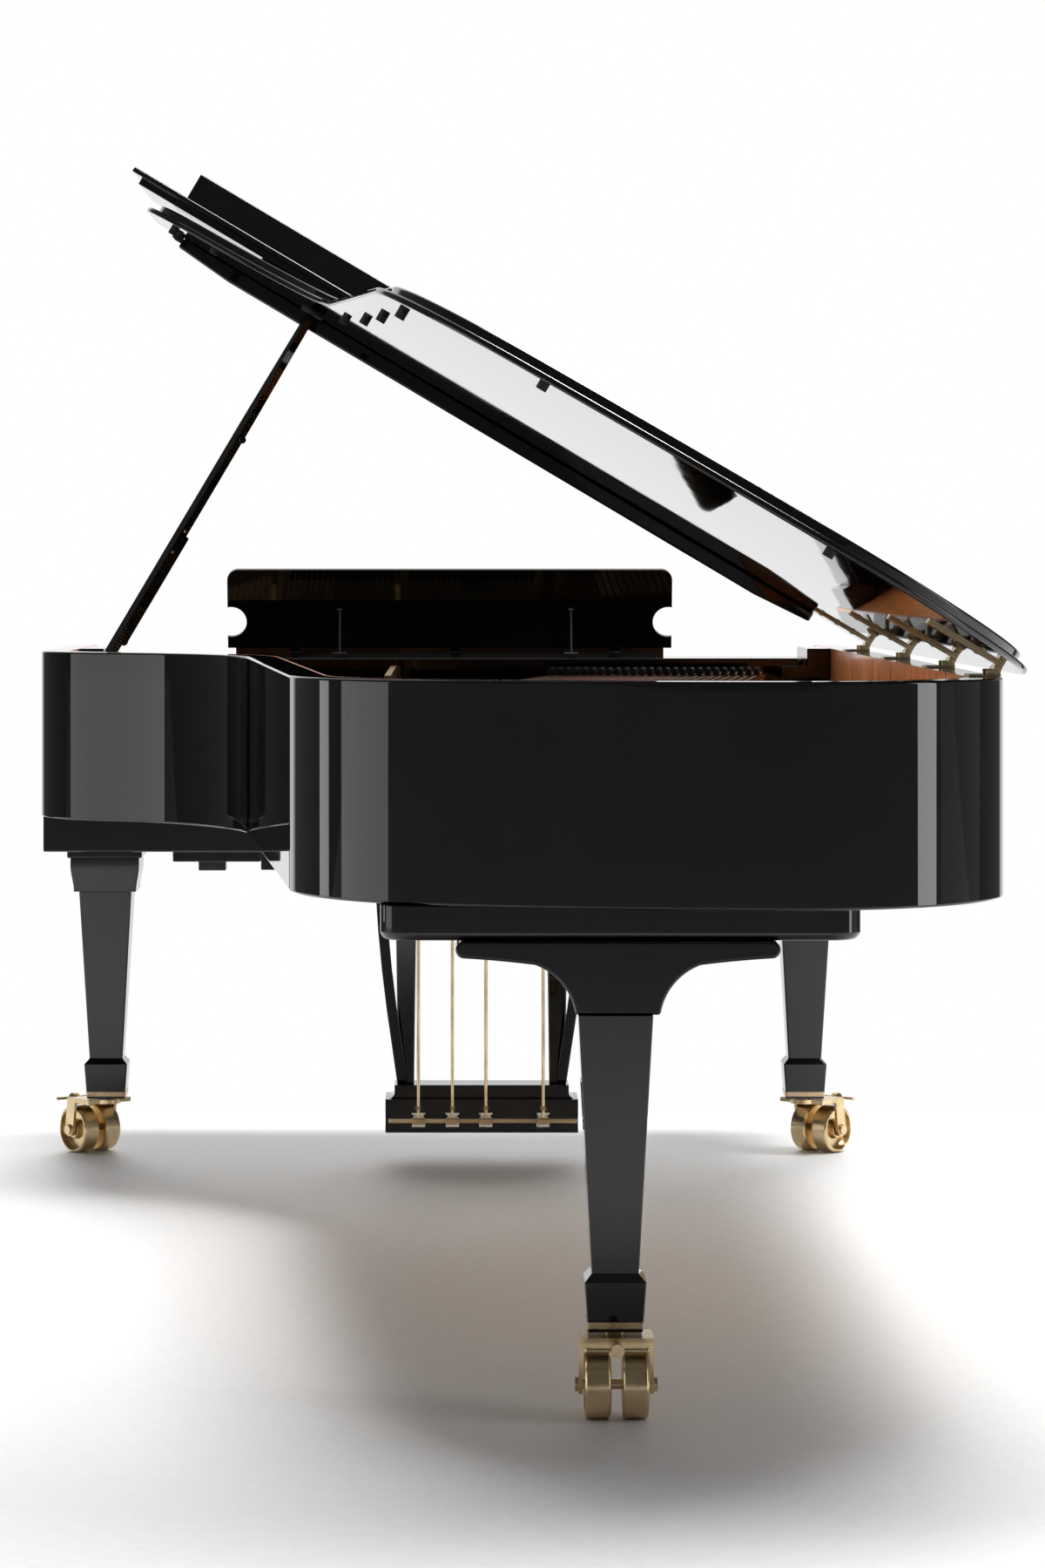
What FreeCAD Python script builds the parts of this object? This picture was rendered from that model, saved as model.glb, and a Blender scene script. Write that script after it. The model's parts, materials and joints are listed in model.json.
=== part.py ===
"""Concert grand piano: case, strung back, action, lid, prop, legs, lyre and casters as separate solids.

Frame: X to the bass side, Y towards the player, Z up, millimetres.
The origin is on the floor below the middle of the keyboard's front edge, and the tail points to -Y.
"""
import FreeCAD
import Part
import math
import os

V = FreeCAD.Vector

# Case plan
case_length = 3080.0
case_width = 1570.0
tail_spine_radius = 320.0
tail_end_radius = 1400.0
tail_treble_radius = 360.0
waist_inset = 543.0
waist_angle = 5.2
treble_side_length = 729.0
bentside_angle = 65.0
shoulder_radius = 200.0

# Case section
rim_bottom = 706.0
rim_height = 312.5
rim_wall = 50.0
rim_edge_round = 4.0
arm_top_setback = 60.0
arm_nose_height = 95.0
arm_round = 45.0
veneer = 4.0
inner_rim_wall = 45.0
inner_rim_height = 171.0

# Soundboard, bridges, plate and strings
soundboard_thickness = 9.0
belly_rail_y = -655.0
belly_rail_depth = 45.0
rib_height = 22.0
rib_angle = 35.0
brace_rise = 16.0
brace_height = 95.0
brace_width = 70.0
brace_feet = (-330.0, 20.0, 370.0)
brace_heads = (-250.0, 120.0, 420.0)
rib_width = 24.0
rib_pitch = 200.0
plate_lift = 20.0
plate_thickness = 14.0
plate_gap = 6.0
plate_lip = 20.0
plate_front_y = -322.0
plate_opening_y = -562.0
strut_width = 26.0
strut_rise = 66.0
plate_opening_margin = 40.0
plate_opening_clear = 16.0
bass_field_inset = 150.0
pin_setback = 48.0
pin_window_margin = 14.0
rib_margin = 4.0
rib_overrun = 70.0
rib_clear = 6.0
rib_foot = 40.0
rib_shoulder = 20.0
rib_tail_slope = 60.0
rib_tail_foot = 50.0
rib_arch_start = 30.0
rib_arch_foot = 10.0
low_strut_rise = 14.0
agraffe_y = -545.0
agraffe_width = 14.0
string_rise = 27.0
bass_string_rise = 49.0
treble_wire = 1.2
bass_wire = 4.0
treble_notes = 62
damped_treble_notes = 42
bass_notes = 26
treble_margin = 185.0
bass_margin = 193.0
bass_gap = 58.0
bass_spacing_ratio = 1.358
section_gap = 30.0
section_breaks = (19, 39)
shortest_string = 130.0
tenor_tail_room = 625.0
tenor_lean = 5.0
tail_length_behind_bridge = 95.0
bridge_width = 34.0
bridge_shares = (0.0, 0.18, 0.35, 0.53, 0.66, 0.78, 1.0)
bass_bridge_waist_room = 147.0
bass_bridge_start_setback = 830.0
bass_bridge_end_margin = 465.0
bass_bridge_end_setback = 300.0
bass_hitch_run = 150.0
pin_diameter = 7.0
pin_height = 46.0
pin_rows = 4
pin_row_pitch = 38.0
pinblock_front_y = -330.0
pinblock_rear_y = -535.0
pinblock_thickness = 37.0
damper_gap = 2.3
damper_length = 62.0
damper_height = 14.0
damper_shoulder = 0.7
damper_crown = 0.5
damper_y = -648.0

# Keybed, keys and action
keybed_bottom = 637.0
keybed_thickness = 38.0
keybed_inset = 3.0
keybed_rear_y = -740.0
key_count = 88
key_block_width = 124.0
white_gap = 1.0
black_play = 1.0
black_front_slope = 0.6
octave_notes = 12
lowest_note = 9
black_offsets = {1: 2.6, 3: -2.6, 6: 3.4, 8: 0.0, 10: -3.4}
key_end_gap = 2.0
keyslip_drop = 8.0
keyslip_round = 4.0
key_block_rise = 14.0
key_block_setback = 14.0
key_block_round = 5.0
white_top = 737.0
white_thickness = 22.0
key_front_y = -18.0
key_rear_y = -430.0
balance_y = -235.0
black_front_y = -66.0
black_end_y = -160.0
black_width = 11.0
black_rise = 12.0
keyslip_thickness = 14.0
fallboard_pivot_y = -190.0
fallboard_length = 165.0
fallboard_thickness = 16.0
fallboard_play = 1.0
fallboard_nose_run = 20.0
fallboard_nose_drop = 5.0
fallboard_open_angle = 97.0
fallboard_pin_diameter = 8.0
fallboard_pin_depth = 10.0
hammer_pivot_y = -470.0
hammer_pivot_z = 837.0
hammer_y = -612.0
hammer_top = 902.0
hammer_gap = 2.3
hammer_depth = 24.0
shank_height = 8.0
shank_bevel = 2.5
shank_tip = 1.5
hammer_nose = 4.0
hammer_shoulder = 22.0
hammer_tail = 6.0
action_rail_width = 20.0
front_rail_y = -38.0
front_rail_height = 21.0
back_rail_height = 25.0
key_rest_gap = 0.6
hammer_rail_overrun = 20.0
hammer_rail_width = 16.0
hammer_rail_height = 22.0
action_bracket_middles = (-230.0, 175.0)
action_bracket_overrun = 10.0
action_bracket_thickness = 12.0
action_foot_height = 24.0
action_foot_front = 8.0
action_foot_rear = 60.0
action_neck = 12.0
action_neck_drop = 30.0
action_head = 6.0
action_head_drop = 10.0

# Music desk
shelf_margin = 50.0
shelf_front_y = -215.0
shelf_depth = 265.0
shelf_top = 999.0
shelf_thickness = 15.0
ledge_width = 860.0
ledge_height = 20.0
ledge_thickness = 14.0
shelf_round = 3.0
stretcher_front_inset = 20.0
stretcher_thickness = 22.0
stretcher_foot_rise = 60.0
runner_depth = 50.0
runner_height = 24.0
runner_overrun = 30.0
knob_margin = 12.0
knob_neck_radius = 4.0
knob_neck = 6.0
knob_radius = 6.0
knob_reach = 10.0
lug_start = 11.0
lug_end = 19.0
lug_half = 6.0
lug_rise = 5.0
desk_hinge_y = -262.0
desk_width = 889.0
desk_x = -11.5
desk_height = 172.0
desk_thickness = 10.0
desk_lean = 15.0
desk_offset = 4.0
strut_arm = 90.0
strut_rod = 5.0
strut_arm_rod = 4.4
desk_hinge_lift = 3.0
desk_heel = 10.0
desk_lug_share = 0.36
desk_strut_share = 0.26
desk_barrel_start = 10.0
desk_barrel_end = 10.5
desk_barrel_diameter = 9.0
desk_barrel_web = 14.0
strut_ear_start = 6.0
strut_ear_end = 11.0
strut_ear_half = 6.0
strut_ear_drop = 4.5
strut_knob_rise = 1.0
strut_pin_back = 3.0
strut_foot_half = 14.0
notch_depth = 38.0
notch_half = 30.0
notch_drop = 108.0
desk_corner = 22.0

# Lid
lid_angle = 30.7
hinge_inset = 5.0
hinge_rise = 10.0
lid_clearance = 10.0
lid_lip = 10.0
lid_top_layer = 14.0
lid_overhang = 30.0
lid_step = 20.0
flap_line_y = -470.0
flap_depth = 400.0
flap_gap = 9.0
flap_overhang = 78.0
flap_play = 0.5
flap_hinge_count = 4
flap_hinge_length = 120.0
flap_hinge_margin = 185.0
flap_leaf_width = 28.0
flap_leaf_thickness = 2.0
flap_web = 3.0
lip_board_height = 51.0
lip_board_thickness = 22.0
batten_height = 29.0
batten_thickness = 22.0
batten_spine_u = 100.0
batten_treble_margin = 35.0
bumper_diameter = 16.0
first_hinge_y = -730.0
second_hinge_y = -1475.0
third_hinge_setback = 930.0
last_hinge_setback = 350.0
leaf_length = 120.0
leaf_width = 36.0
leaf_thickness = 4.0
hinge_pin_overrun = 10.0
hinge_ear_play = 1.0
hinge_ear_length = 8.0
hinge_ear_foot = 16.0
hinge_post_inset = 42.0
hinge_post_edge = 1.0
hinge_post_overrun = 14.0
hinge_post_plate = 2.5
lid_nose_share = 0.4
batten_taper = 120.0
batten_end_share = 0.68
batten_setback = 14.0
bumper_stations = 9
front_bumper_setbacks = (60.0, 180.0)
cup_share = 2.2
cup_thickness = 4.0
lip_board_inset = 6.0
lip_board_round = 3.0
knuckle_radius = 5.5
hinge_pin_diameter = 6.0
pivot_clearance = 0.05

# Lid prop
prop_margin = 99.0
prop_y = -620.0
prop_drop = 43.5
prop_stow_angle = 36.0
prop_width = 21.0
prop_thickness = 15.0
prop_tip_share = 0.6
prop_taper_share = 0.7
prop_tip_length = 12.0
prop_tip_bevel = 5.0
prop_eye_share = 1.5
short_pin_share = 0.8
short_pin_overrun = 3.0
short_prop_share = 0.38
short_prop_round = 3.0
boss_reach = 110.0
boss_pin_root = 5.0
boss_room = 300.0
boss_pad_thickness = 6.0
boss_pad_half = 30.0
boss_pad_drop = 28.0
boss_pad_gap = 2.0
short_prop_start = 75.0
short_prop_length = 235.0
short_prop_thickness = 9.0
short_prop_gap = 0.5
prop_pin_diameter = 10.0
contact_gap = 0.3

# Legs and casters
leg_margin = 86.0
leg_y = -250.0
tail_leg_margin = 563.0
tail_leg_setback = 135.0
leg_plate_width = 149.0
leg_plate_thickness = 39.0
leg_cap_width = 137.0
leg_cap_foot_width = 124.0
leg_cap_edge = 15.0
leg_neck = 5.0
leg_corner = 3.0
foot_chamfer = 2.0
leg_plate_round = 3.0
tail_base_round = 12.0
bracket_sag_share = 0.4
loft_steps = 6
leg_cap_height = 68.0
shaft_top_width = 104.0
shaft_foot_width = 66.0
shaft_foot_z = 195.0
foot_top_z = 184.0
foot_bottom_z = 114.5
foot_top_width = 86.0
foot_bottom_width = 76.0
band_height = 9.0
band_above_foot = 5.0
band_proud = 0.6
band_depth = 4.0
wheel_diameter = 94.0
wheel_width = 36.0
wheel_gap = 16.0
axle_diameter = 14.0
wheel_dish = 14.0
hub_share = 0.36
tyre_wall = 6.0
tyre_round = 3.0
fork_width = 104.0
fork_plate = 8.5
fork_wall_y = -66.0
fork_wall = 6.0
fork_wall_drop = 6.5
fork_front_y = 8.0
fork_boss_radius = 27.0
arm_width = 27.0
cheek_thickness = 6.0
caster_trail = 60.0
stem_diameter = 33.0
stem_length = 45.0
stem_play = 3.5
bolt_width = 114.0
bolt_head_diameter = 20.0
brake_z = 103.0
brake_head_diameter = 18.5
brake_screw_diameter = 9.0
brake_reach = 41.0
brake_head_length = 14.0
brake_bar_length = 81.0
brake_bar_diameter = 5.5
brake_ball_share = 0.62
caster_turns = {"treble": -140.0, "bass": 140.0, "tail": 0.0}

# Tail support
tail_base_width = 670.0
tail_base_shift = 8.0
tail_base_overhang = 40.0
tail_base_depth = 300.0
tail_base_thickness = 49.0
tail_base_corner = 40.0
bracket_width = 451.0
bracket_shift = 3.5
bracket_height = 102.0
bracket_foot_width = 118.0
bracket_thickness = 90.0
bracket_lobe = 24.0
bracket_knee_run = 56.0
bracket_knee_drop = 33.0
bracket_throat_run = 16.0
bracket_throat_drop = 63.0

# Lyre and pedals
lyre_x = 52.0
lyre_y = -330.0
lyre_width = 381.0
lyre_depth = 120.0
lyre_bottom = 60.0
lyre_box_height = 66.0
lyre_block_height = 28.0
lyre_block_overrun = 40.0
lyre_block_half_depth = 50.0
pedal_slot_play = 2.0
pedal_pin_inset = 8.0
pedal_neck = 14.0
pedal_round = 2.5
rod_seat_gap = 0.6
trap_gap = 12.0
trap_rear = 40.0
trap_front = 30.0
trap_foot_rear = 30.0
trap_foot_front = 20.0
lyre_step_height = 26.0
lyre_step_inset = 18.0
lyre_step_fillet = 12.0
lyre_foot_height = 4.0
lyre_foot_radius = 8.0
column_spread = 150.0
column_top_width = 44.0
column_foot_width = 32.0
lyre_brace_width = 20.0
lyre_brace_foot_x = 157.0
lyre_brace_bow = 40.0
lyre_brace_foot_y = -362.0
lyre_brace_head_y = -680.0
pedal_x = (-73.0, -6.0, 60.0, 173.0)
pedal_z = 85.0
pedal_width = 22.0
pedal_thickness = 12.0
pedal_pad_width = 46.0
pedal_reach = 155.0
pedal_heel = 88.0
pedal_slot = 28.0
pedal_pin_diameter = 8.0
rod_diameter = 6.4
rod_y = -406.0
rod_top = 569.0
trap_lever = 14.0
trap_step = 18.0
trap_left = -555.0
trap_right = -383.0
trap_end = 260.0

# Derived levels and places
rim_top = rim_bottom + rim_height
half_width = case_width / 2.0
inner_rim_top = rim_bottom + inner_rim_height
soundboard_top = inner_rim_top + soundboard_thickness
plate_bottom = soundboard_top + plate_lift
plate_top = plate_bottom + plate_thickness
string_z = plate_top + string_rise
bass_string_z = plate_top + bass_string_rise
keybed_top = keybed_bottom + keybed_thickness
treble_x = treble_margin - half_width
bass_x_last = half_width - bass_margin
string_gaps = section_gap * len(section_breaks)
treble_pitch = (bass_x_last - treble_x - string_gaps - bass_gap) / (
    treble_notes - 1 + bass_spacing_ratio * (bass_notes - 1))
tenor_x = treble_x + treble_pitch * (treble_notes - 1) + string_gaps
bass_x_first = tenor_x + bass_gap
longest_tenor_string = case_length + agraffe_y - tail_length_behind_bridge - tenor_tail_room
bass_bridge_start = V(waist_inset - half_width + bass_bridge_waist_room,
                      bass_bridge_start_setback - case_length, 0)
bass_bridge_end = V(half_width - bass_bridge_end_margin, bass_bridge_end_setback - case_length, 0)
keybed_half_width = half_width - keybed_inset
cheek_width = rim_wall - keybed_inset
shelf_half_width = half_width - rim_wall - shelf_margin
hinge_x = half_width - hinge_inset
hinge_stations = (first_hinge_y, second_hinge_y, third_hinge_setback - case_length,
                  last_hinge_setback - case_length)
batten_treble_x = batten_treble_margin - half_width
prop_pivot = V(prop_margin - half_width, prop_y, rim_top - prop_drop)
leg_x = half_width - leg_margin
tail_leg_x = half_width - tail_leg_margin
tail_leg_y = tail_leg_setback - case_length
tail_base_middle = tail_leg_x + tail_base_shift
tail_base_front = tail_leg_y - tail_base_overhang
bracket_middle = tail_leg_x + bracket_shift
white_bottom = white_top - white_thickness
hinge_z = rim_top + hinge_rise
fallboard_pivot_z = white_top + black_rise + fallboard_thickness
lid_bottom = hinge_z + lid_clearance
lid_top = lid_bottom + lid_lip + lid_top_layer
flap_bottom = lid_top + flap_gap
flap_top = flap_bottom + lid_top_layer + lid_lip
flap_axis_z = lid_top + flap_gap / 2.0
shelf_rear_y = shelf_front_y - shelf_depth
lid_normal = V(math.sin(math.radians(lid_angle)), 0, math.cos(math.radians(lid_angle)))


def box(x0, x1, y0, y1, z0, z1):
    """Block between two corners."""
    return Part.makeBox(x1 - x0, y1 - y0, z1 - z0, V(x0, y0, z0))


def rod(start, end, diameter):
    """Round bar from start to end."""
    run = end - start
    return Part.makeCylinder(diameter / 2.0, run.Length, start, run)


def prism(edges, z0, z1):
    """Upright prism over a closed plan outline given as edges at Z = 0."""
    face = Part.Face(Part.Wire(edges))
    solid = face.extrude(V(0, 0, z1 - z0))
    solid.translate(V(0, 0, z0))
    return solid


def polygon(points):
    """Straight edges through the points, closed."""
    return Part.makePolygon(points + points[:1]).Edges


def profile_along_x(points, x0, x1):
    """Prism whose YZ section is the polygon of (y, z) points."""
    face = Part.Face(Part.Wire(polygon([V(x0, y, z) for y, z in points])))
    return face.extrude(V(x1 - x0, 0, 0))


def tail_end_turn():
    """Turn of the tail's end arc, in degrees, that leaves the waist its inset from the treble side."""
    room = case_width - tail_spine_radius - waist_inset
    room -= tail_treble_radius * math.cos(math.radians(waist_angle))
    return math.degrees(math.asin(room / (tail_end_radius - tail_treble_radius)))


def waist_start():
    """Plan point where the tail's treble corner runs into the straight waist."""
    end = math.radians(tail_end_turn())
    waist = math.radians(waist_angle)
    corner = V(half_width - tail_spine_radius, -case_length, 0)
    corner += V(-tail_end_radius * math.sin(end), tail_end_radius * (1 - math.cos(end)), 0)
    centre = corner + V(math.sin(end), math.cos(end), 0) * tail_treble_radius
    return centre + V(-math.cos(waist), -math.sin(waist), 0) * tail_treble_radius


def waist_and_bentside():
    """Length of the straight waist and radius of the bentside that leave the treble side its length."""
    waist = math.radians(waist_angle)
    bend = math.radians(bentside_angle)
    start = waist_start()
    across = start.x + half_width - shoulder_radius * (1 - math.cos(bend))
    along = -treble_side_length - shoulder_radius * math.sin(bend) - start.y
    slope = (math.sin(bend) - math.sin(waist)) / (math.cos(waist) - math.cos(bend))
    length = (along - across * slope) / (math.cos(waist) - math.sin(waist) * slope)
    radius = (across - length * math.sin(waist)) / (math.cos(waist) - math.cos(bend))
    return length, radius


def case_path(front_y):
    """Plan path from the spine's front round the tail to the treble front: (length, radius, turn)."""
    waist_length, bentside_radius = waist_and_bentside()
    end_turn = tail_end_turn()
    return [
        (case_length + front_y - tail_spine_radius, 0, 0),
        (0, tail_spine_radius, -90.0),
        (0, tail_end_radius, -end_turn),
        (0, tail_treble_radius, -(90.0 - end_turn - waist_angle)),
        (waist_length, 0, 0),
        (0, bentside_radius, bentside_angle - waist_angle),
        (0, shoulder_radius, -bentside_angle),
        (front_y + treble_side_length, 0, 0),
    ]


def case_edges(offset, front_y):
    """Closed plan outline of the case, moved outward by offset and cut square at front_y."""
    point = V(half_width + offset, front_y, 0)
    start = point
    heading = -90.0
    edges = []
    for length, radius, turn in case_path(front_y):
        angle = math.radians(heading)
        if length:
            end = point + V(math.cos(angle), math.sin(angle), 0) * length
            edges.append(Part.LineSegment(point, end).toShape())
        else:
            side = 1.0 if turn > 0 else -1.0
            reach = radius - side * offset
            centre = point + V(-math.sin(angle), math.cos(angle), 0) * side * reach
            spoke = point - centre
            middle = centre + FreeCAD.Rotation(V(0, 0, 1), turn / 2.0).multVec(spoke)
            end = centre + FreeCAD.Rotation(V(0, 0, 1), turn).multVec(spoke)
            edges.append(Part.Arc(point, middle, end).toShape())
            heading += turn
        point = end
    edges.append(Part.LineSegment(point, start).toShape())
    return edges


def case_prism(offset, front_y, z0, z1):
    """Prism over the case outline, cut square at front_y."""
    whole = prism(case_edges(offset, max(front_y, 0)), z0, z1)
    if front_y >= 0:
        return whole
    return whole.cut(box(-case_width, case_width, front_y, 1, z0, z1)).Solids[0]


def level_edges(solid, z, keep=lambda edge: True):
    """Edges of the solid that lie in the plane Z = z."""
    flat = []
    for edge in solid.Edges:
        limits = edge.BoundBox
        if abs(limits.ZMin - z) < 1e-4 and abs(limits.ZMax - z) < 1e-4 and keep(edge):
            flat.append(edge)
    return flat


def behind(front_y):
    """Test for an edge that doesn't lie on the front cut."""
    return lambda edge: edge.BoundBox.YMin < front_y - 1.0


def raise_lid(shape):
    """Turn a shape made on the closed lid to the open lid."""
    shape.rotate(V(hinge_x, 0, hinge_z), V(0, 1, 0), lid_angle)
    return shape


def save(name, solids):
    """Write one node from a solid or from a list of separate solids."""
    if isinstance(solids, list):
        solids = Part.makeCompound(solids)
    solids.exportStep(os.path.join("parts", name + ".step"))


# Case

def make_rim():
    """Outer rim, open at the keyboard, with rounded edges and stepped arm fronts."""
    outer = case_prism(0, 0, rim_bottom, rim_top)
    rounded = level_edges(outer, rim_top, behind(0)) + level_edges(outer, rim_bottom, behind(0))
    outer = outer.makeFillet(rim_edge_round, rounded)
    inner = case_prism(-rim_wall, rim_wall, rim_bottom - 1, rim_top + 1)
    nose_z = rim_bottom + arm_nose_height
    wide = half_width + 1
    upper = box(-wide, wide, -arm_top_setback, 1, nose_z, rim_top + 1)
    crown = box(-wide, wide, -arm_top_setback - arm_round, -arm_top_setback + 1,
                rim_top - arm_round, rim_top + 1)
    crown_centre = V(-wide, -arm_top_setback - arm_round, rim_top - arm_round)
    crown = crown.cut(Part.makeCylinder(arm_round, 2 * wide, crown_centre, V(1, 0, 0)))
    bore = fallboard_pin(fallboard_pin_depth + 1.0, fallboard_pin_diameter + 2 * pivot_clearance)
    return outer.cut(inner).cut(upper).cut(crown).cut(bore)


def make_rim_veneer():
    """Thin lining of the rim above the soundboard."""
    outer = case_prism(-rim_wall, -arm_top_setback - arm_round, soundboard_top, rim_top)
    inner = case_prism(-rim_wall - veneer, rim_wall, soundboard_top - 1, rim_top + 1)
    return outer.cut(inner)


def make_inner_rim():
    """Bent inner rim that carries the soundboard."""
    outer = case_prism(-rim_wall, belly_rail_y, rim_bottom, inner_rim_top)
    inner = case_prism(-rim_wall - inner_rim_wall, rim_wall, rim_bottom - 1, inner_rim_top + 1)
    return outer.cut(inner)


def make_case_braces():
    """Belly rail and the braces that fan out from it below the soundboard."""
    brace_low = rim_bottom + brace_rise
    brace_high = brace_low + brace_height
    inside = case_prism(-rim_wall - inner_rim_wall, belly_rail_y, rim_bottom, inner_rim_top)
    rail = box(-half_width, half_width, belly_rail_y - belly_rail_depth, belly_rail_y,
               rim_bottom, inner_rim_top)
    rear = belly_rail_y - belly_rail_depth
    solids = [rail.common(inside).Solids[0]]
    for foot_x, head_x in zip(brace_feet, brace_heads):
        start = V(foot_x, rear, 0)
        run = V(head_x, -case_length, 0) - start
        side = V(-run.y, run.x, 0).normalize() * brace_width / 2.0
        plan = polygon([start + side, start - side, start + run - side, start + run + side])
        behind_rail = case_prism(-rim_wall - inner_rim_wall, rear, rim_bottom, inner_rim_top)
        solids.append(prism(plan, brace_low, brace_high).common(behind_rail).Solids[0])
    return solids


def make_soundboard():
    """Soundboard with the ribs glued below it, clear of the inner rim."""
    board = case_prism(-rim_wall, belly_rail_y, inner_rim_top, soundboard_top)
    solids = [board]
    rib_room = case_prism(-rim_wall - inner_rim_wall, belly_rail_y - belly_rail_depth,
                          inner_rim_top - rib_height, inner_rim_top)
    angle = math.radians(rib_angle)
    slope = V(math.cos(angle), math.sin(angle), 0)
    side = V(-slope.y, slope.x, 0) * rib_width / 2.0
    station = belly_rail_y - belly_rail_depth - rib_pitch
    while station > -case_length + tail_spine_radius:
        middle = V(half_width / 2.0, station, 0)
        reach = slope * case_width
        start = middle - reach
        end = middle + reach
        plan = polygon([start + side, start - side, end - side, end + side])
        for solid in prism(plan, inner_rim_top - rib_height, inner_rim_top).common(rib_room).Solids:
            solids.append(solid)
        station -= rib_pitch
    return solids


# Stringing

def treble_share(index):
    """Share of the way from the highest treble note to the lowest tenor note."""
    return index / (treble_notes - 1.0)


def treble_front(index):
    """Plan point where a treble or tenor string leaves the agraffes."""
    gaps = sum(1 for note in section_breaks if index >= note)
    return V(treble_x + treble_pitch * index + section_gap * gaps, agraffe_y, 0)


def treble_run(index, extra):
    """Plan point on the string, extra beyond its bridge; length grows by a fixed ratio per note."""
    share = treble_share(index)
    length = shortest_string * (longest_tenor_string / shortest_string) ** share + extra
    lean = math.radians(tenor_lean * share)
    return treble_front(index) + V(math.sin(lean), -math.cos(lean), 0) * length


def bass_share(index):
    """Share of the way from the highest to the lowest bass note."""
    return index / (bass_notes - 1.0)


def bass_front(index):
    """Plan point where a bass string leaves the agraffes."""
    return V(bass_x_first + (bass_x_last - bass_x_first) * bass_share(index), agraffe_y, 0)


def bass_run(index, extra):
    """Plan point on a bass string, extra beyond the bass bridge."""
    crossing = bass_bridge_start + (bass_bridge_end - bass_bridge_start) * bass_share(index)
    run = (crossing - bass_front(index)).normalize()
    return crossing + run * extra


def lifted(point, z):
    """Plan point raised to a height."""
    return V(point.x, point.y, z)


def make_treble_strings():
    """One wire for each treble and tenor note."""
    wires = []
    for index in range(treble_notes):
        start = lifted(treble_front(index), string_z)
        end = lifted(treble_run(index, tail_length_behind_bridge), string_z)
        wires.append(rod(start, end, treble_wire))
    return wires


def make_bass_strings():
    """One wound wire for each bass note, passing over the tenor strings."""
    wires = []
    for index in range(bass_notes):
        start = lifted(bass_front(index), bass_string_z)
        end = lifted(bass_run(index, bass_hitch_run), bass_string_z)
        wires.append(rod(start, end, bass_wire))
    return wires


def spline_through(points):
    """Smooth curve through plan points."""
    curve = Part.BSplineCurve()
    curve.interpolate(points)
    return curve.toShape()


def ribbon(near, far):
    """Closed outline between two smooth plan curves."""
    return [
        spline_through(near),
        Part.LineSegment(near[-1], far[-1]).toShape(),
        spline_through(far),
        Part.LineSegment(far[0], near[0]).toShape(),
    ]


def bridge_stations():
    """Notes that the long bridge's curve is drawn through, closer together where it bends."""
    last = treble_notes - 1
    return [round(last * share) for share in bridge_shares]


def make_bridges():
    """Long bridge below the treble and tenor strings, and the bass bridge."""
    half = bridge_width / 2.0
    stations = bridge_stations()
    near = [treble_run(index, -half) for index in stations]
    far = [treble_run(index, half) for index in stations]
    long_bridge = prism(ribbon(near, far), soundboard_top, string_z - treble_wire / 2.0)
    last = bass_notes - 1
    corners = [bass_run(0, -half), bass_run(0, half), bass_run(last, half), bass_run(last, -half)]
    bass_bridge = prism(polygon(corners), soundboard_top, bass_string_z - bass_wire / 2.0)
    return [long_bridge, bass_bridge]


def plate_openings():
    """Plan openings of the plate: treble and tenor field, bass field, and room for the bass bridge."""
    margin = plate_opening_margin
    stations = bridge_stations()
    hitch = [treble_run(index, tail_length_behind_bridge - plate_opening_clear) for index in stations]
    first = V(treble_x - margin, hitch[0].y, 0)
    tenor_corner = hitch[-1] + V(margin / 2.0, 0, 0)
    front_treble = V(treble_x - margin, plate_opening_y, 0)
    front_tenor = V(tenor_x + margin / 2.0, plate_opening_y, 0)
    treble = [
        Part.LineSegment(front_treble, first).toShape(),
        Part.LineSegment(first, hitch[0]).toShape(),
        spline_through(hitch),
        Part.LineSegment(hitch[-1], tenor_corner).toShape(),
        Part.LineSegment(tenor_corner, front_tenor).toShape(),
        Part.LineSegment(front_tenor, front_treble).toShape(),
    ]
    web = strut_width
    bass_side = half_width - bass_field_inset
    bass = polygon([
        V(front_tenor.x + web, plate_opening_y, 0),
        V(bass_side, plate_opening_y, 0),
        V(bass_side, bass_bridge_end.y + 2 * margin, 0),
        V(bass_bridge_end.x + 3 * margin, bass_bridge_end.y, 0),
        V(tenor_corner.x + web, tenor_corner.y - margin, 0),
    ])
    half = bridge_width / 2.0 + margin
    last = bass_notes - 1
    along = (bass_bridge_end - bass_bridge_start).normalize() * margin
    bridge = polygon([
        bass_run(0, -half) - along,
        bass_run(0, half) - along,
        bass_run(last, half) + along,
        bass_run(last, -half) + along,
    ])
    return [treble, bass, bridge]


def pin_place(front, index):
    """Plan point of the tuning pin of a note, in staggered rows in front of the agraffes."""
    row = index % pin_rows
    return V(front.x, pinblock_rear_y + pin_setback + row * pin_row_pitch, 0)


def pin_points():
    """Tuning pin places of all the notes."""
    treble = [pin_place(treble_front(index), index) for index in range(treble_notes)]
    bass = [pin_place(bass_front(index), index) for index in range(bass_notes)]
    return treble, bass


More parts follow.
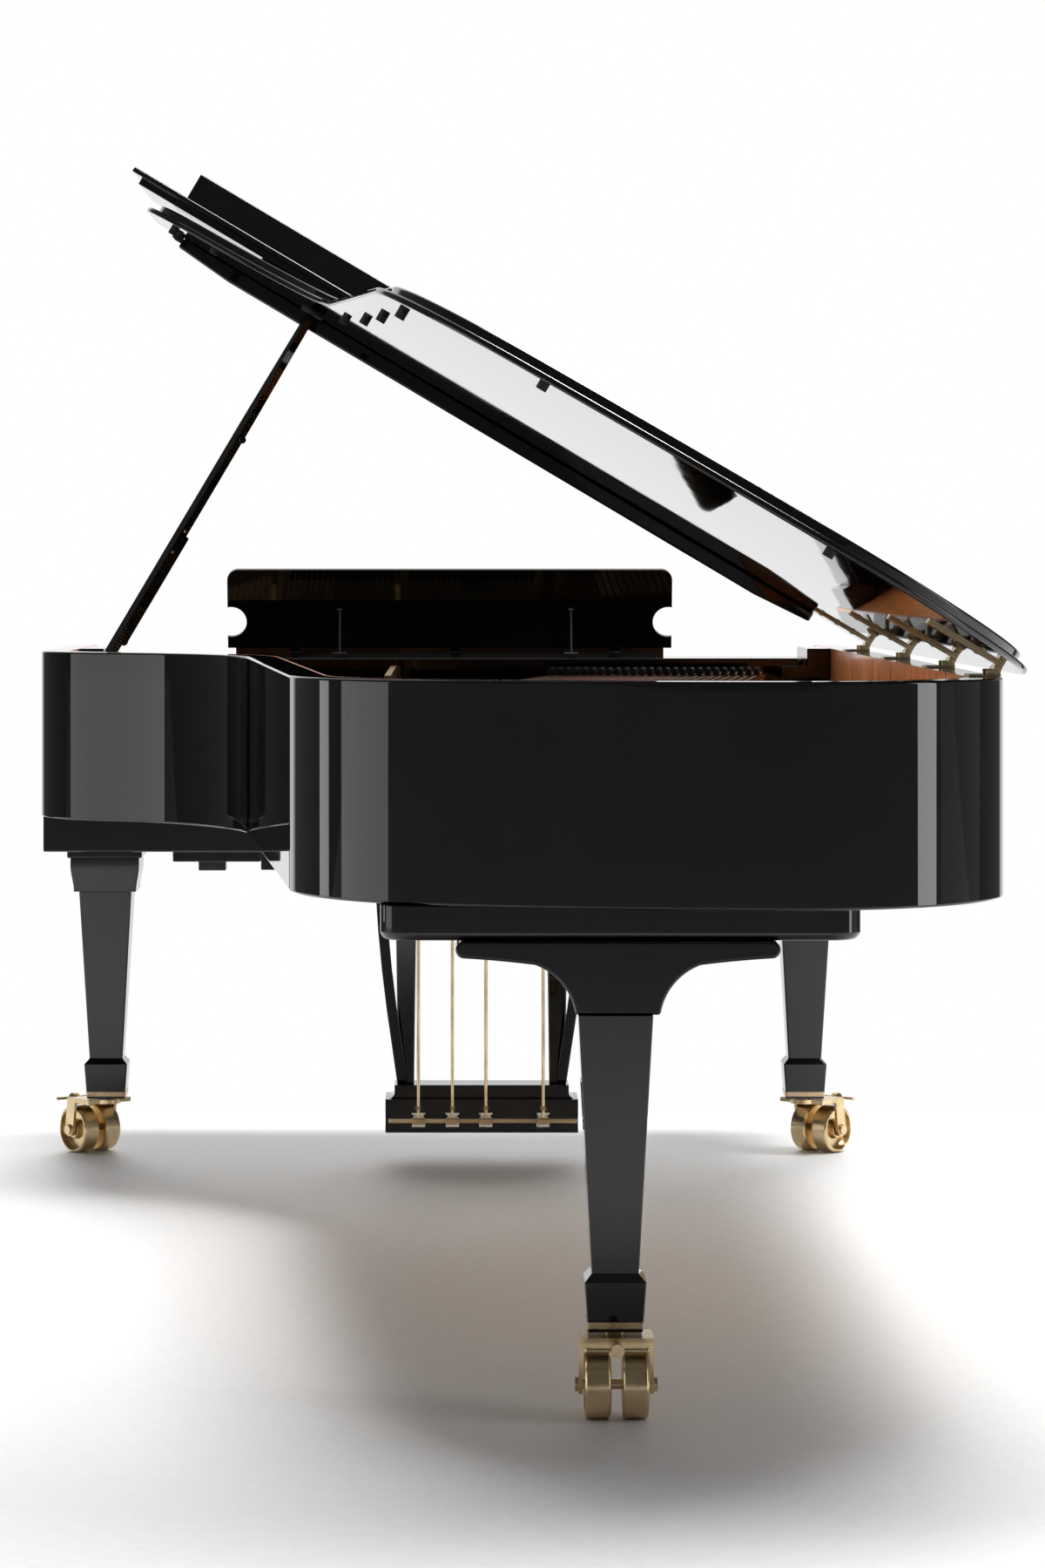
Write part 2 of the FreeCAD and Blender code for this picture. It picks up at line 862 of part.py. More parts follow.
def make_iron_plate():
    """Cast plate with string openings, pin windows, agraffe ridge, edge lip and raised struts."""
    outline = -rim_wall - veneer - plate_gap
    plate = case_prism(outline, plate_front_y, plate_bottom, plate_top)
    for opening in plate_openings():
        plate = plate.cut(prism(opening, plate_bottom - 1, plate_top + 1))
    window = pin_window_margin
    for points in pin_points():
        xs = [point.x for point in points]
        ys = [point.y for point in points]
        plate = plate.cut(box(min(xs) - window, max(xs) + window, min(ys) - window, max(ys) + window,
                              plate_bottom - 1, plate_top + 1))
    lip = case_prism(outline, belly_rail_y, soundboard_top, plate_bottom)
    lip = lip.cut(case_prism(outline - plate_lip, rim_wall, soundboard_top - 1, plate_bottom + 1))
    plate = plate.fuse(lip)
    half = agraffe_width / 2.0
    ridge_end = treble_front(treble_notes - 1).x + bass_wire * 3
    treble_ridge = box(treble_x - half, ridge_end, agraffe_y - half, agraffe_y + half,
                       plate_top, string_z - treble_wire / 2.0)
    bass_ridge = box(bass_x_first - half, bass_x_last + half, agraffe_y - half, agraffe_y + half,
                     plate_top, bass_string_z - bass_wire / 2.0)
    plate = plate.fuse(treble_ridge).fuse(bass_ridge)
    for note in section_breaks:
        x = (treble_front(note).x + treble_front(note - 1).x) / 2.0
        slot = section_gap / 2.0 - rib_margin
        rear = treble_run(note, tail_length_behind_bridge).y - rib_overrun
        arch = string_z + rib_clear
        rise = [
            (agraffe_y + rib_foot, plate_bottom),
            (agraffe_y + rib_foot, plate_top),
            (agraffe_y - rib_shoulder, plate_top + strut_rise),
            (rear + rib_tail_slope, plate_top + strut_rise),
            (rear, plate_top),
            (rear, plate_bottom),
            (rear + rib_tail_foot, plate_bottom),
            (rear + rib_tail_foot, arch),
            (agraffe_y - rib_arch_start, arch),
            (agraffe_y - rib_arch_foot, plate_bottom),
        ]
        plate = plate.fuse(profile_along_x(rise, x - slot / 2.0, x + slot / 2.0))
    tenor_end = treble_run(treble_notes - 1, tail_length_behind_bridge)
    start = V(tenor_x + plate_opening_margin / 2.0 + strut_width / 2.0, plate_opening_y, 0)
    end = V(tenor_end.x + plate_opening_margin / 2.0 + strut_width / 2.0, tenor_end.y, 0)
    half_web = V(strut_width / 4.0, 0, 0)
    main_strut = prism(polygon([start - half_web, start + half_web, end + half_web, end - half_web]),
                       plate_bottom, plate_top + low_strut_rise)
    return plate.fuse(main_strut).removeSplitter()


def make_pinblock():
    """Laminated block below the front of the plate that holds the tuning pins."""
    side = half_width - rim_wall - veneer
    return box(-side, side, pinblock_rear_y, pinblock_front_y,
               plate_bottom - pinblock_thickness, plate_bottom)


def make_tuning_pins():
    """Steel pins standing in the plate's windows."""
    pins = []
    for points in pin_points():
        for point in points:
            top = lifted(point, plate_bottom + pin_height)
            pins.append(rod(lifted(point, plate_bottom), top, pin_diameter))
    return pins


def make_dampers():
    """Felted damper heads resting on the strings."""
    heads = []
    rows = []
    for step in range(damped_treble_notes):
        index = treble_notes - 1 - step
        rows.append((treble_front(index), treble_run(index, 0), string_z + treble_wire / 2.0))
    rows += [(bass_front(index), bass_run(index, 0), bass_string_z + bass_wire / 2.0)
             for index in range(bass_notes)]
    for front, far, seat in rows:
        run = (far - front).normalize()
        centre = front + run * (agraffe_y - damper_y)
        half = (treble_pitch - damper_gap) / 2.0
        sole = seat + contact_gap
        section = [
            V(-half, 0, sole),
            V(half, 0, sole),
            V(half, 0, sole + damper_height * damper_shoulder),
            V(half * damper_crown, 0, sole + damper_height),
            V(-half * damper_crown, 0, sole + damper_height),
            V(-half, 0, sole + damper_height * damper_shoulder),
        ]
        head = Part.Face(Part.Wire(polygon(section))).extrude(V(0, -damper_length, 0))
        head.rotate(V(0, 0, 0), V(0, 0, 1), math.degrees(math.atan2(run.x, -run.y)))
        head.translate(V(centre.x, centre.y, 0))
        heads.append(head)
    return heads


# Keyboard and action

def make_keybed():
    """Keybed with the side cheeks that the rim's arms stand on."""
    bed = box(-keybed_half_width, keybed_half_width, keybed_rear_y, 0, keybed_bottom, keybed_top)
    for side in (-1, 1):
        inner = side * (keybed_half_width - cheek_width)
        outer = side * keybed_half_width
        bed = bed.fuse(box(min(inner, outer), max(inner, outer), keybed_rear_y, 0, keybed_top, rim_bottom))
    rear = box(-keybed_half_width + cheek_width, keybed_half_width - cheek_width, keybed_rear_y,
               keybed_rear_y + cheek_width, keybed_top, rim_bottom)
    return bed.fuse(rear).removeSplitter()


def white_pitch():
    """Width of a white key with its gap: the keys fill the case between the key blocks."""
    return 2.0 * (half_width - rim_wall - key_block_width) / white_count()


def white_count():
    """Number of white keys on the keyboard."""
    return sum(1 for key in range(key_count) if not is_black(key))


def note_in_octave(key):
    """Note of a key counted in half steps from C; key 0 is the lowest A."""
    return (key + lowest_note) % octave_notes


def is_black(key):
    """True for a black key."""
    return note_in_octave(key) in black_offsets


def keyboard_layout():
    """White key bass edges and black key centres along X, from the bass side."""
    left = white_count() * white_pitch() / 2.0
    whites = []
    blacks = []
    for key in range(key_count):
        if is_black(key):
            blacks.append(left + black_offsets[note_in_octave(key)])
        else:
            whites.append(left)
            left -= white_pitch()
    return whites, blacks


def make_white_keys():
    """White keys, each a full-width head and a tail narrowed beside the black keys."""
    whites, blacks = keyboard_layout()
    pitch = white_pitch()
    room = black_width / 2.0 + white_gap + black_play
    split_y = black_front_y + white_gap + black_play
    keys = []
    for edge in whites:
        left = edge - pitch + white_gap / 2.0
        right = edge - white_gap / 2.0
        keys.append(box(left, right, split_y, key_front_y, white_bottom, white_top))
        for centre in blacks:
            if abs(centre - left) < room:
                left = centre + room
            if abs(centre - right) < room:
                right = centre - room
        keys.append(box(left, right, key_rear_y, split_y, white_bottom, white_top))
    return keys


def make_black_keys():
    """Black keys with sloped fronts."""
    keys = []
    for centre in keyboard_layout()[1]:
        half = black_width / 2.0
        top = white_top + black_rise
        side = [
            (black_front_y, white_bottom),
            (black_front_y, white_top),
            (black_front_y - black_rise * black_front_slope, top),
            (black_end_y, top),
            (black_end_y - black_rise, white_top),
            (key_rear_y, white_top),
            (key_rear_y, white_bottom),
        ]
        keys.append(profile_along_x(side, centre - half, centre + half))
    return keys


def make_keyslip():
    """Keyslip in front of the keys, and the key blocks at both ends."""
    inside = half_width - rim_wall
    keys_end = white_count() * white_pitch() / 2.0 + key_end_gap
    slip_top = white_top - keyslip_drop
    block_top = white_top + key_block_rise
    block_rear = fallboard_pivot_y + key_block_setback
    slip = box(-inside, inside, -keyslip_thickness, 0, keybed_top, slip_top)
    parts = [slip.makeFillet(keyslip_round, level_edges(slip, slip_top))]
    for side in (-1, 1):
        near = side * keys_end
        far = side * inside
        block = box(min(near, far), max(near, far), block_rear, -keyslip_thickness,
                    rim_bottom, block_top)
        block = block.makeFillet(key_block_round, level_edges(block, block_top))
        parts.append(block)
        low_near = side * keys_end
        low_far = side * (keybed_half_width - cheek_width)
        parts.append(box(min(low_near, low_far), max(low_near, low_far), block_rear,
                         -keyslip_thickness, keybed_top, rim_bottom))
    return parts


def make_action_frame():
    """Key frame rails on the keybed, action brackets and the hammer rail."""
    reach = white_count() * white_pitch() / 2.0
    half_rail = action_rail_width / 2.0
    rails = [
        box(-reach, reach, front_rail_y - half_rail, front_rail_y + half_rail,
            keybed_top, keybed_top + front_rail_height),
        box(-reach, reach, balance_y - half_rail, balance_y + half_rail,
            keybed_top, white_bottom - key_rest_gap),
        box(-reach, reach, key_rear_y, key_rear_y + action_rail_width,
            keybed_top, keybed_top + back_rail_height),
    ]
    rail_top = hammer_pivot_z - shank_height / 2.0 - key_rest_gap
    rail_end = reach + hammer_rail_overrun
    rail_half = hammer_rail_width / 2.0
    hammer_rail = box(-rail_end, rail_end, hammer_pivot_y - rail_half, hammer_pivot_y + rail_half,
                      rail_top - hammer_rail_height, rail_top)
    outer = reach + action_bracket_overrun
    foot_top = keybed_top + action_foot_height
    side = [
        (key_rear_y - action_foot_front, keybed_top),
        (key_rear_y - action_foot_front, foot_top),
        (hammer_pivot_y + action_neck, rail_top - action_neck_drop),
        (hammer_pivot_y + action_head, rail_top - action_head_drop),
        (hammer_pivot_y - action_head, rail_top - action_head_drop),
        (hammer_pivot_y - action_neck, rail_top - action_neck_drop),
        (hammer_pivot_y - action_foot_rear, foot_top),
        (hammer_pivot_y - action_foot_rear, keybed_top),
    ]
    bracket_half = action_bracket_thickness / 2.0
    for x in (-outer,) + action_bracket_middles + (outer,):
        hammer_rail = hammer_rail.fuse(profile_along_x(side, x - bracket_half, x + bracket_half))
    return rails + [hammer_rail.removeSplitter()]


def make_hammers():
    """Felt hammers on their shanks, one below each note's strings."""
    front = hammer_y + hammer_depth / 2.0
    rear = hammer_y - hammer_depth / 2.0
    low = hammer_pivot_z - shank_height / 2.0
    high = hammer_pivot_z + shank_height / 2.0
    side = [
        (hammer_pivot_y + shank_tip, low),
        (hammer_pivot_y + hammer_nose, low + shank_bevel),
        (hammer_pivot_y + hammer_nose, high - shank_bevel),
        (hammer_pivot_y + shank_tip, high),
        (front - hammer_nose, high),
        (front, hammer_top - hammer_shoulder),
        (hammer_y + hammer_nose, hammer_top),
        (hammer_y - hammer_nose, hammer_top),
        (rear, hammer_top - hammer_shoulder),
        (rear + hammer_nose, low - hammer_tail),
        (front - hammer_nose, low - hammer_tail),
        (front - hammer_nose, low),
    ]
    places = [treble_front(index).x for index in range(treble_notes)]
    places += [bass_front(index).x for index in range(bass_notes)]
    half = (treble_pitch - hammer_gap) / 2.0
    return [profile_along_x(side, x - half, x + half) for x in places]


def make_fallboard():
    """Fallboard, standing open behind the keys."""
    reach = half_width - rim_wall - veneer - fallboard_play
    half = fallboard_thickness / 2.0
    tip = fallboard_pivot_y + fallboard_length
    pivot_z = fallboard_pivot_z
    side = [
        (fallboard_pivot_y - half, pivot_z - half),
        (fallboard_pivot_y - half, pivot_z + half),
        (tip - fallboard_nose_run, pivot_z + half),
        (tip, pivot_z + half - fallboard_nose_drop),
        (tip, pivot_z - half),
    ]
    board = profile_along_x(side, -reach, reach)
    board = board.fuse(fallboard_pin(fallboard_pin_depth, fallboard_pin_diameter)).removeSplitter()
    board.rotate(V(0, fallboard_pivot_y, pivot_z), V(1, 0, 0), fallboard_open_angle)
    return board


def fallboard_pin(depth, diameter):
    """Pivot pin of the fallboard, through to a depth inside both arms."""
    reach = half_width - rim_wall + depth
    return rod(V(-reach, fallboard_pivot_y, fallboard_pivot_z),
               V(reach, fallboard_pivot_y, fallboard_pivot_z), diameter)


def make_stretcher():
    """Beam behind the fallboard, with the side runners that guide the music shelf."""
    inside = half_width - rim_wall - veneer
    beam_front = shelf_front_y - stretcher_front_inset
    beam_rear = beam_front - stretcher_thickness
    runner_rear = shelf_rear_y - runner_overrun
    beam = box(-inside, inside, beam_rear, beam_front,
               white_top + stretcher_foot_rise, shelf_top - shelf_thickness)
    solids = [beam]
    low = shelf_top - shelf_thickness
    for side in (-1, 1):
        wall = side * inside
        slide = side * (shelf_half_width + contact_gap)
        ledge = side * (shelf_half_width - runner_depth)
        guide = box(min(wall, slide), max(wall, slide), runner_rear, beam_rear, low, rim_top)
        rail = box(min(wall, ledge), max(wall, ledge), runner_rear, beam_rear, low - runner_height, low)
        solids.append(guide.fuse(rail).removeSplitter())
    return solids


# Music desk

def make_music_shelf():
    """Sliding shelf that carries the music desk, with a pull knob on its rear edge."""
    shelf = box(-shelf_half_width, shelf_half_width, shelf_rear_y, shelf_front_y,
                shelf_top - shelf_thickness + contact_gap, shelf_top)
    shelf = shelf.makeFillet(shelf_round, level_edges(shelf, shelf_top))
    knob_x = shelf_half_width - knob_margin
    knob_z = shelf_top - shelf_thickness / 2.0
    knob = Part.makeCylinder(knob_neck_radius, knob_neck, V(knob_x, shelf_rear_y, knob_z), V(0, -1, 0))
    knob = knob.fuse(Part.makeSphere(knob_radius, V(knob_x, shelf_rear_y - knob_reach, knob_z)))
    axis_z = desk_hinge_z()
    for x in desk_lug_places():
        shelf = shelf.fuse(box(x + lug_start, x + lug_end, desk_hinge_y - lug_half, desk_hinge_y + lug_half,
                               shelf_top - 1.0, axis_z + lug_rise))
        bore = rod(V(x + lug_start - 1, desk_hinge_y, axis_z), V(x + lug_end + 1, desk_hinge_y, axis_z),
                   strut_rod + 2 * pivot_clearance)
        shelf = shelf.cut(bore)
    ledge = box(desk_x - ledge_width / 2.0, desk_x + ledge_width / 2.0, shelf_front_y - ledge_thickness,
                shelf_front_y, shelf_top - 1, shelf_top + ledge_height)
    ledge = ledge.makeFillet(ledge_thickness / 4.0, level_edges(ledge, shelf_top + ledge_height))
    return shelf.fuse(knob).fuse(ledge).removeSplitter()


def desk_hinge_z():
    """Height of the desk's hinge line above the shelf."""
    return shelf_top + strut_rod / 2.0 + contact_gap + desk_hinge_lift


def desk_lug_places():
    """Places along X of the desk's hinge lugs."""
    return (-desk_width * desk_lug_share, 0.0, desk_width * desk_lug_share)


def lean_desk(shape):
    """Turn a shape made with the desk lying flat towards the tail to the leaning desk."""
    shape.rotate(V(0, desk_hinge_y, desk_hinge_z()), V(1, 0, 0), -(90.0 - desk_lean))
    return shape


def make_music_desk():
    """Desk board with round corners and a concave notch in each side, made flat and then leaned."""
    near = desk_hinge_y - desk_heel
    far = desk_hinge_y - desk_height
    notch_y = far + notch_drop
    diagonal = desk_corner * (1 - math.sqrt(0.5))

    def half_outline(side):
        """Points up one side: the notch's arc, then the corner's arc."""
        edge = desk_x + side * desk_width / 2.0
        return [
            V(edge, near, 0),
            V(edge, notch_y + notch_half, 0),
            V(edge - side * notch_depth, notch_y, 0),
            V(edge, notch_y - notch_half, 0),
            V(edge, far + desk_corner, 0),
            V(edge - side * diagonal, far + diagonal, 0),
            V(edge - side * desk_corner, far, 0),
        ]

    right = half_outline(1)
    left = half_outline(-1)
    edges = [Part.LineSegment(right[6], left[6]).toShape(), Part.LineSegment(left[0], right[0]).toShape()]
    for points in (right, left):
        edges.append(Part.LineSegment(points[0], points[1]).toShape())
        edges.append(Part.Arc(points[1], points[2], points[3]).toShape())
        edges.append(Part.LineSegment(points[3], points[4]).toShape())
        edges.append(Part.Arc(points[4], points[5], points[6]).toShape())
    edges = Part.__sortEdges__(edges)
    axis_z = desk_hinge_z()
    low = axis_z + desk_offset
    board = prism(edges, low, low + desk_thickness)
    for x in desk_lug_places():
        near_end = V(x - desk_barrel_start, desk_hinge_y, axis_z)
        barrel = rod(near_end, V(x + desk_barrel_end, desk_hinge_y, axis_z), desk_barrel_diameter)
        web = box(x - desk_barrel_start, x + desk_barrel_end, desk_hinge_y - desk_barrel_web, desk_hinge_y,
                  axis_z, low)
        pin = rod(near_end, V(x + lug_end, desk_hinge_y, axis_z), strut_rod)
        board = board.fuse(barrel.fuse(web)).fuse(pin)
    pivot_y = strut_pivot_y()
    for side in (-1, 1):
        ear_x = side * desk_strut_x()
        ear = box(ear_x + strut_ear_start, ear_x + strut_ear_end, pivot_y - strut_ear_half,
                  pivot_y + strut_ear_half, axis_z - strut_ear_drop, low)
        bore = rod(V(ear_x + strut_ear_start - 1, pivot_y, axis_z),
                   V(ear_x + strut_ear_end + 1, pivot_y, axis_z), strut_rod + 2 * pivot_clearance)
        board = board.fuse(ear.cut(bore))
    return lean_desk(board.removeSplitter())


def desk_strut_x():
    """Distance of the two desk struts from the middle."""
    return desk_width * desk_strut_share


def strut_pivot_y():
    """Place of the strut pivots with the desk lying flat."""
    return desk_hinge_y - strut_arm


def make_desk_struts():
    """Two struts whose feet slide on the shelf as the desk folds; each is as long as its pivot's radius."""
    struts = []
    for side in (-1, 1):
        x = side * desk_strut_x()
        pivot = V(x, strut_pivot_y(), desk_hinge_z())
        foot = pivot + V(0, -strut_arm, 0)
        back = pivot + V(-strut_pin_back, 0, 0)
        toe = V(strut_foot_half, 0, 0)
        strut = rod(pivot, foot, strut_arm_rod)
        strut = strut.fuse(rod(back, pivot + V(strut_ear_end, 0, 0), strut_rod))
        strut = strut.fuse(Part.makeSphere(strut_rod / 2.0 + strut_knob_rise, back))
        strut = strut.fuse(rod(foot - toe, foot + toe, strut_rod))
        strut.rotate(pivot, V(1, 0, 0), 2 * (90.0 - desk_lean))
        struts.append(lean_desk(strut.removeSplitter()))
    return struts


# Lid

def lidded_prism(offset, front_y, z0, z1, round_top, round_bottom):
    """Layer of the closed lid with rounded edges all round but at the flap line."""
    layer = case_prism(offset, front_y, z0, z1)
    if round_top:
        layer = layer.makeFillet(round_top, level_edges(layer, z1, behind(front_y)))
    if round_bottom:
        layer = layer.makeFillet(round_bottom, level_edges(layer, z0, behind(front_y)))
    return layer


def make_lid():
    """Main lid: a lip that overhangs the case and an inset upper layer."""
    nose = lid_lip * lid_nose_share
    lip = lidded_prism(lid_overhang, flap_line_y, lid_bottom, lid_bottom + lid_lip, nose, nose)
    upper = lidded_prism(lid_overhang - lid_step, flap_line_y, lid_bottom + lid_lip, lid_top, nose, 0)
    return raise_lid(lip.fuse(upper).removeSplitter())


def make_lid_batten():
    """Stiffening batten below the lid, beside the flap line, with tapered ends."""
    taper = batten_taper
    end_height = batten_height * batten_end_share
    spine_x = hinge_x - batten_spine_u
    rear = flap_line_y - batten_setback
    section = [
        V(spine_x, rear, lid_bottom),
        V(spine_x, rear, lid_bottom - end_height),
        V(spine_x - taper, rear, lid_bottom - batten_height),
        V(batten_treble_x + taper, rear, lid_bottom - batten_height),
        V(batten_treble_x, rear, lid_bottom - end_height),
        V(batten_treble_x, rear, lid_bottom),
    ]
    batten = Part.Face(Part.Wire(polygon(section))).extrude(V(0, -batten_thickness, 0))
    return raise_lid(batten)


def make_lid_fittings():
    """Rubber bumpers below the lid's edge and the cup that the prop stands in."""
    rim_line = Part.Wire(case_edges(-rim_wall / 2.0, flap_line_y)[1:-1])
    places = rim_line.discretize(Number=bumper_stations)[1:]
    for setback in front_bumper_setbacks:
        places.append(V(-half_width + rim_wall / 2.0, flap_line_y - setback, 0))
    bumpers = []
    for place in places:
        bumper = rod(lifted(place, lid_bottom), lifted(place, lid_bottom - hinge_rise), bumper_diameter)
        bumpers.append(raise_lid(bumper))
    seat = prop_seat()
    cup = rod(seat, seat - lid_normal * cup_thickness, cup_share * prop_width)
    return bumpers + [cup]


def prop_seat():
    """Point on the open lid's underside above the prop."""
    hinge = V(hinge_x, prop_pivot.y, hinge_z)
    height = (prop_pivot - hinge).dot(lid_normal)
    return prop_pivot + lid_normal * (lid_clearance - height)


def make_hinge_leaves():
    """Long brass leaves below the lid, each with its barrel and pin."""
    leaves = []
    half = leaf_width / 2.0
    for y in hinge_stations:
        bar = box(hinge_x - leaf_length, hinge_x, y - half, y + half,
                  lid_bottom - leaf_thickness, lid_bottom)
        barrel = rod(V(hinge_x, y - half, hinge_z), V(hinge_x, y + half, hinge_z), 2 * knuckle_radius)
        web = box(hinge_x - knuckle_radius, hinge_x + knuckle_radius, y - half, y + half,
                  hinge_z, lid_bottom)
        reach = half + hinge_pin_overrun
        pin = rod(V(hinge_x, y - reach, hinge_z), V(hinge_x, y + reach, hinge_z), hinge_pin_diameter)
        leaves.append(raise_lid(bar.fuse(web).fuse(barrel).fuse(pin).removeSplitter()))
    return leaves


def make_hinge_posts():
    """Brass posts on the spine's top edge with an ear on each side of the leaf's barrel."""
    posts = []
    half = leaf_width / 2.0 + hinge_ear_play
    edge = half_width - hinge_post_edge
    for y in hinge_stations:
        end = half + hinge_post_overrun
        post = box(hinge_x - hinge_post_inset, edge, y - end, y + end, rim_top, rim_top + hinge_post_plate)
        for side in (-1, 1):
            near = y + side * half
            far = y + side * (half + hinge_ear_length)
            ear = rod(V(hinge_x, near, hinge_z), V(hinge_x, far, hinge_z), 2 * knuckle_radius)
            foot = box(hinge_x - hinge_ear_foot, edge, min(near, far), max(near, far), rim_top, hinge_z)
            post = post.fuse(ear.fuse(foot))
        bore = rod(V(hinge_x, y - end, hinge_z), V(hinge_x, y + end, hinge_z),
                   hinge_pin_diameter + 2 * pivot_clearance)
        posts.append(post.cut(bore).removeSplitter())
    return posts


def make_lid_flap():
    """Front flap, folded back upside down on the main lid."""
    x0 = -half_width - flap_overhang
    x1 = half_width + lid_overhang
    y0 = flap_line_y - flap_depth
    y1 = flap_line_y - flap_play
    inset = box(x0 + lid_step, x1 - lid_step, y0 + lid_step, y1, flap_bottom, flap_bottom + lid_top_layer)
    lip = box(x0, x1, y0, y1, flap_bottom + lid_top_layer, flap_top)
    nose = lid_lip * lid_nose_share
    lip = lip.makeFillet(nose, level_edges(lip, flap_top, behind(y1)))
    return raise_lid(inset.fuse(lip).removeSplitter())


def make_flap_lip():
    """Board that hangs from the flap's front edge when the lid is shut; it points up on the folded flap."""
    near = flap_line_y - flap_depth + lip_board_inset
    board = box(batten_treble_x, hinge_x - batten_spine_u, near, near + lip_board_thickness,
                flap_top, flap_top + lip_board_height)
    board = board.makeFillet(lip_board_round, level_edges(board, flap_top + lip_board_height))
    return raise_lid(board)


def make_flap_hinges():
    """Barrels of the flap hinge with their leaves on the main lid."""
    barrel_diameter = flap_gap - 2 * flap_play
    pitch = (case_width - 2 * flap_hinge_margin - flap_hinge_length) / (flap_hinge_count - 1)
    hinges = []
    for index in range(flap_hinge_count):
        x0 = flap_hinge_margin - half_width + pitch * index
        x1 = x0 + flap_hinge_length
        barrel = rod(V(x0, flap_line_y, flap_axis_z), V(x1, flap_line_y, flap_axis_z), barrel_diameter)
        leaf = box(x0, x1, flap_line_y - flap_leaf_width, flap_line_y,
                   lid_top, lid_top + flap_leaf_thickness)
        web = box(x0, x1, flap_line_y - flap_web, flap_line_y, lid_top, flap_axis_z)
        hinges.append(raise_lid(barrel.fuse(web).fuse(leaf).removeSplitter()))
    return hinges


# Lid prop

def prop_axis():
    """Pivot axis of the prop: square to the raised stick and to the stowed stick."""
    stow = math.radians(prop_stow_angle)
    stowed = V(math.sin(stow), -math.cos(stow), 0)
    return lid_normal.cross(stowed).normalize()


def set_on_prop(shape):
    """Move a shape made at the origin (stick along Z, pivot along X) to the raised prop."""
    axis = prop_axis()
    turn = FreeCAD.Rotation(axis, lid_normal.cross(axis), lid_normal, "ZXY")
    shape.Placement = FreeCAD.Placement(prop_pivot, turn).multiply(shape.Placement)
    return shape


def prop_length():
    """Length from the pivot to the prop's tip, just short of the cup."""
    return (prop_seat() - prop_pivot).Length - cup_thickness - contact_gap


def make_prop():
    """Long prop stick: an eye at the pivot, a tapered stick, and the pin of the short prop."""
    half = prop_thickness / 2.0
    half_width_here = prop_width / 2.0
    tip = half_width_here * prop_tip_share
    length = prop_length()
    side = [
        V(-half, -half_width_here, 0),
        V(-half, half_width_here, 0),
        V(-half, half_width_here, length * prop_taper_share),
        V(-half, tip, length - prop_tip_length),
        V(-half, tip - prop_tip_bevel, length),
        V(-half, prop_tip_bevel - tip, length),
        V(-half, -tip, length - prop_tip_length),
        V(-half, -half_width_here, length * prop_taper_share),
    ]
    stick = Part.Face(Part.Wire(polygon(side))).extrude(V(prop_thickness, 0, 0))
    eye = rod(V(-half, 0, 0), V(half, 0, 0), prop_width * prop_eye_share)
    bore = rod(V(-half - 1, 0, 0), V(half + 1, 0, 0), prop_pin_diameter + 2 * pivot_clearance)
    pin_end = half + short_prop_gap + short_prop_thickness + short_pin_overrun
    pin = rod(V(half, 0, short_prop_start), V(pin_end, 0, short_prop_start),
              prop_pin_diameter * short_pin_share)
    return set_on_prop(stick.fuse(eye).cut(bore).fuse(pin).removeSplitter())


def make_short_prop():
    """Short prop stick, folded along the long one."""
    near = prop_thickness / 2.0 + short_prop_gap
    far = near + short_prop_thickness
    half = prop_width * short_prop_share
    end = short_prop_start + short_prop_length
    stick = box(near, far, -half, half, short_prop_start, end)
    stick = stick.makeFillet(short_prop_round, level_edges(stick, end))
    stick = stick.fuse(rod(V(near, 0, short_prop_start), V(far, 0, short_prop_start), 2 * half))
    bore = rod(V(near - 1, 0, short_prop_start), V(far + 1, 0, short_prop_start),
               prop_pin_diameter * short_pin_share + 2 * pivot_clearance)
    return set_on_prop(stick.cut(bore).removeSplitter())


def make_prop_bracket():
    """Boss on the rim's lining with the pin that carries the prop."""
    half = prop_thickness / 2.0
    boss = rod(V(-half - contact_gap, 0, 0), V(-half - boss_reach, 0, 0), prop_width)
    pin = rod(V(-half - boss_pin_root, 0, 0), V(half + short_pin_overrun, 0, 0), prop_pin_diameter)
    boss = set_on_prop(boss.fuse(pin))
    wall = -(half_width - rim_wall - veneer)
    inside = box(wall, 0, prop_pivot.y - boss_room, prop_pivot.y + boss_room,
                 soundboard_top, rim_top + boss_room)
    boss = boss.common(inside)
    axis = prop_axis()
    foot = prop_pivot - axis * ((prop_pivot.x - wall) / axis.x)
    pad = box(wall, wall + boss_pad_thickness, foot.y - boss_pad_half, foot.y + boss_pad_half,
              foot.z - boss_pad_drop, rim_top - boss_pad_gap)
    return boss.fuse(pad).removeSplitter()


# Legs

def square(width, z, corner):
    """Square outline with rounded corners, centred on the Z axis."""
    half = width / 2.0
    flat = half - corner
    diagonal = flat + corner * math.sqrt(0.5)
    edges = []
    for turn in range(4):
        rotation = FreeCAD.Rotation(V(0, 0, 1), 90.0 * turn)
        line = [rotation.multVec(V(half, -flat, z)), rotation.multVec(V(half, flat, z))]
        arc = [line[1], rotation.multVec(V(diagonal, diagonal, z)), rotation.multVec(V(flat, half, z))]
        edges.append(Part.LineSegment(line[0], line[1]).toShape())
        edges.append(Part.Arc(arc[0], arc[1], arc[2]).toShape())
    return Part.Wire(edges)


def square_column(sections):
    """Upright column through (z, width) squares, straight between them."""
    return Part.makeLoft([square(width, z, leg_corner) for z, width in sections], True, True)


def foot_width(z):
    """Width of the tapered foot block at a height."""
    share = (z - foot_bottom_z) / (foot_top_z - foot_bottom_z)
    return foot_bottom_width + (foot_top_width - foot_bottom_width) * share


def foot_sections():
    """Squares of the foot block and the chamfer below the shaft."""
    return [
        (foot_bottom_z, foot_bottom_width),
        (foot_top_z, foot_top_width),
        (foot_top_z + foot_chamfer, foot_top_width - 2 * foot_chamfer),
        (shaft_foot_z, shaft_foot_width),
    ]


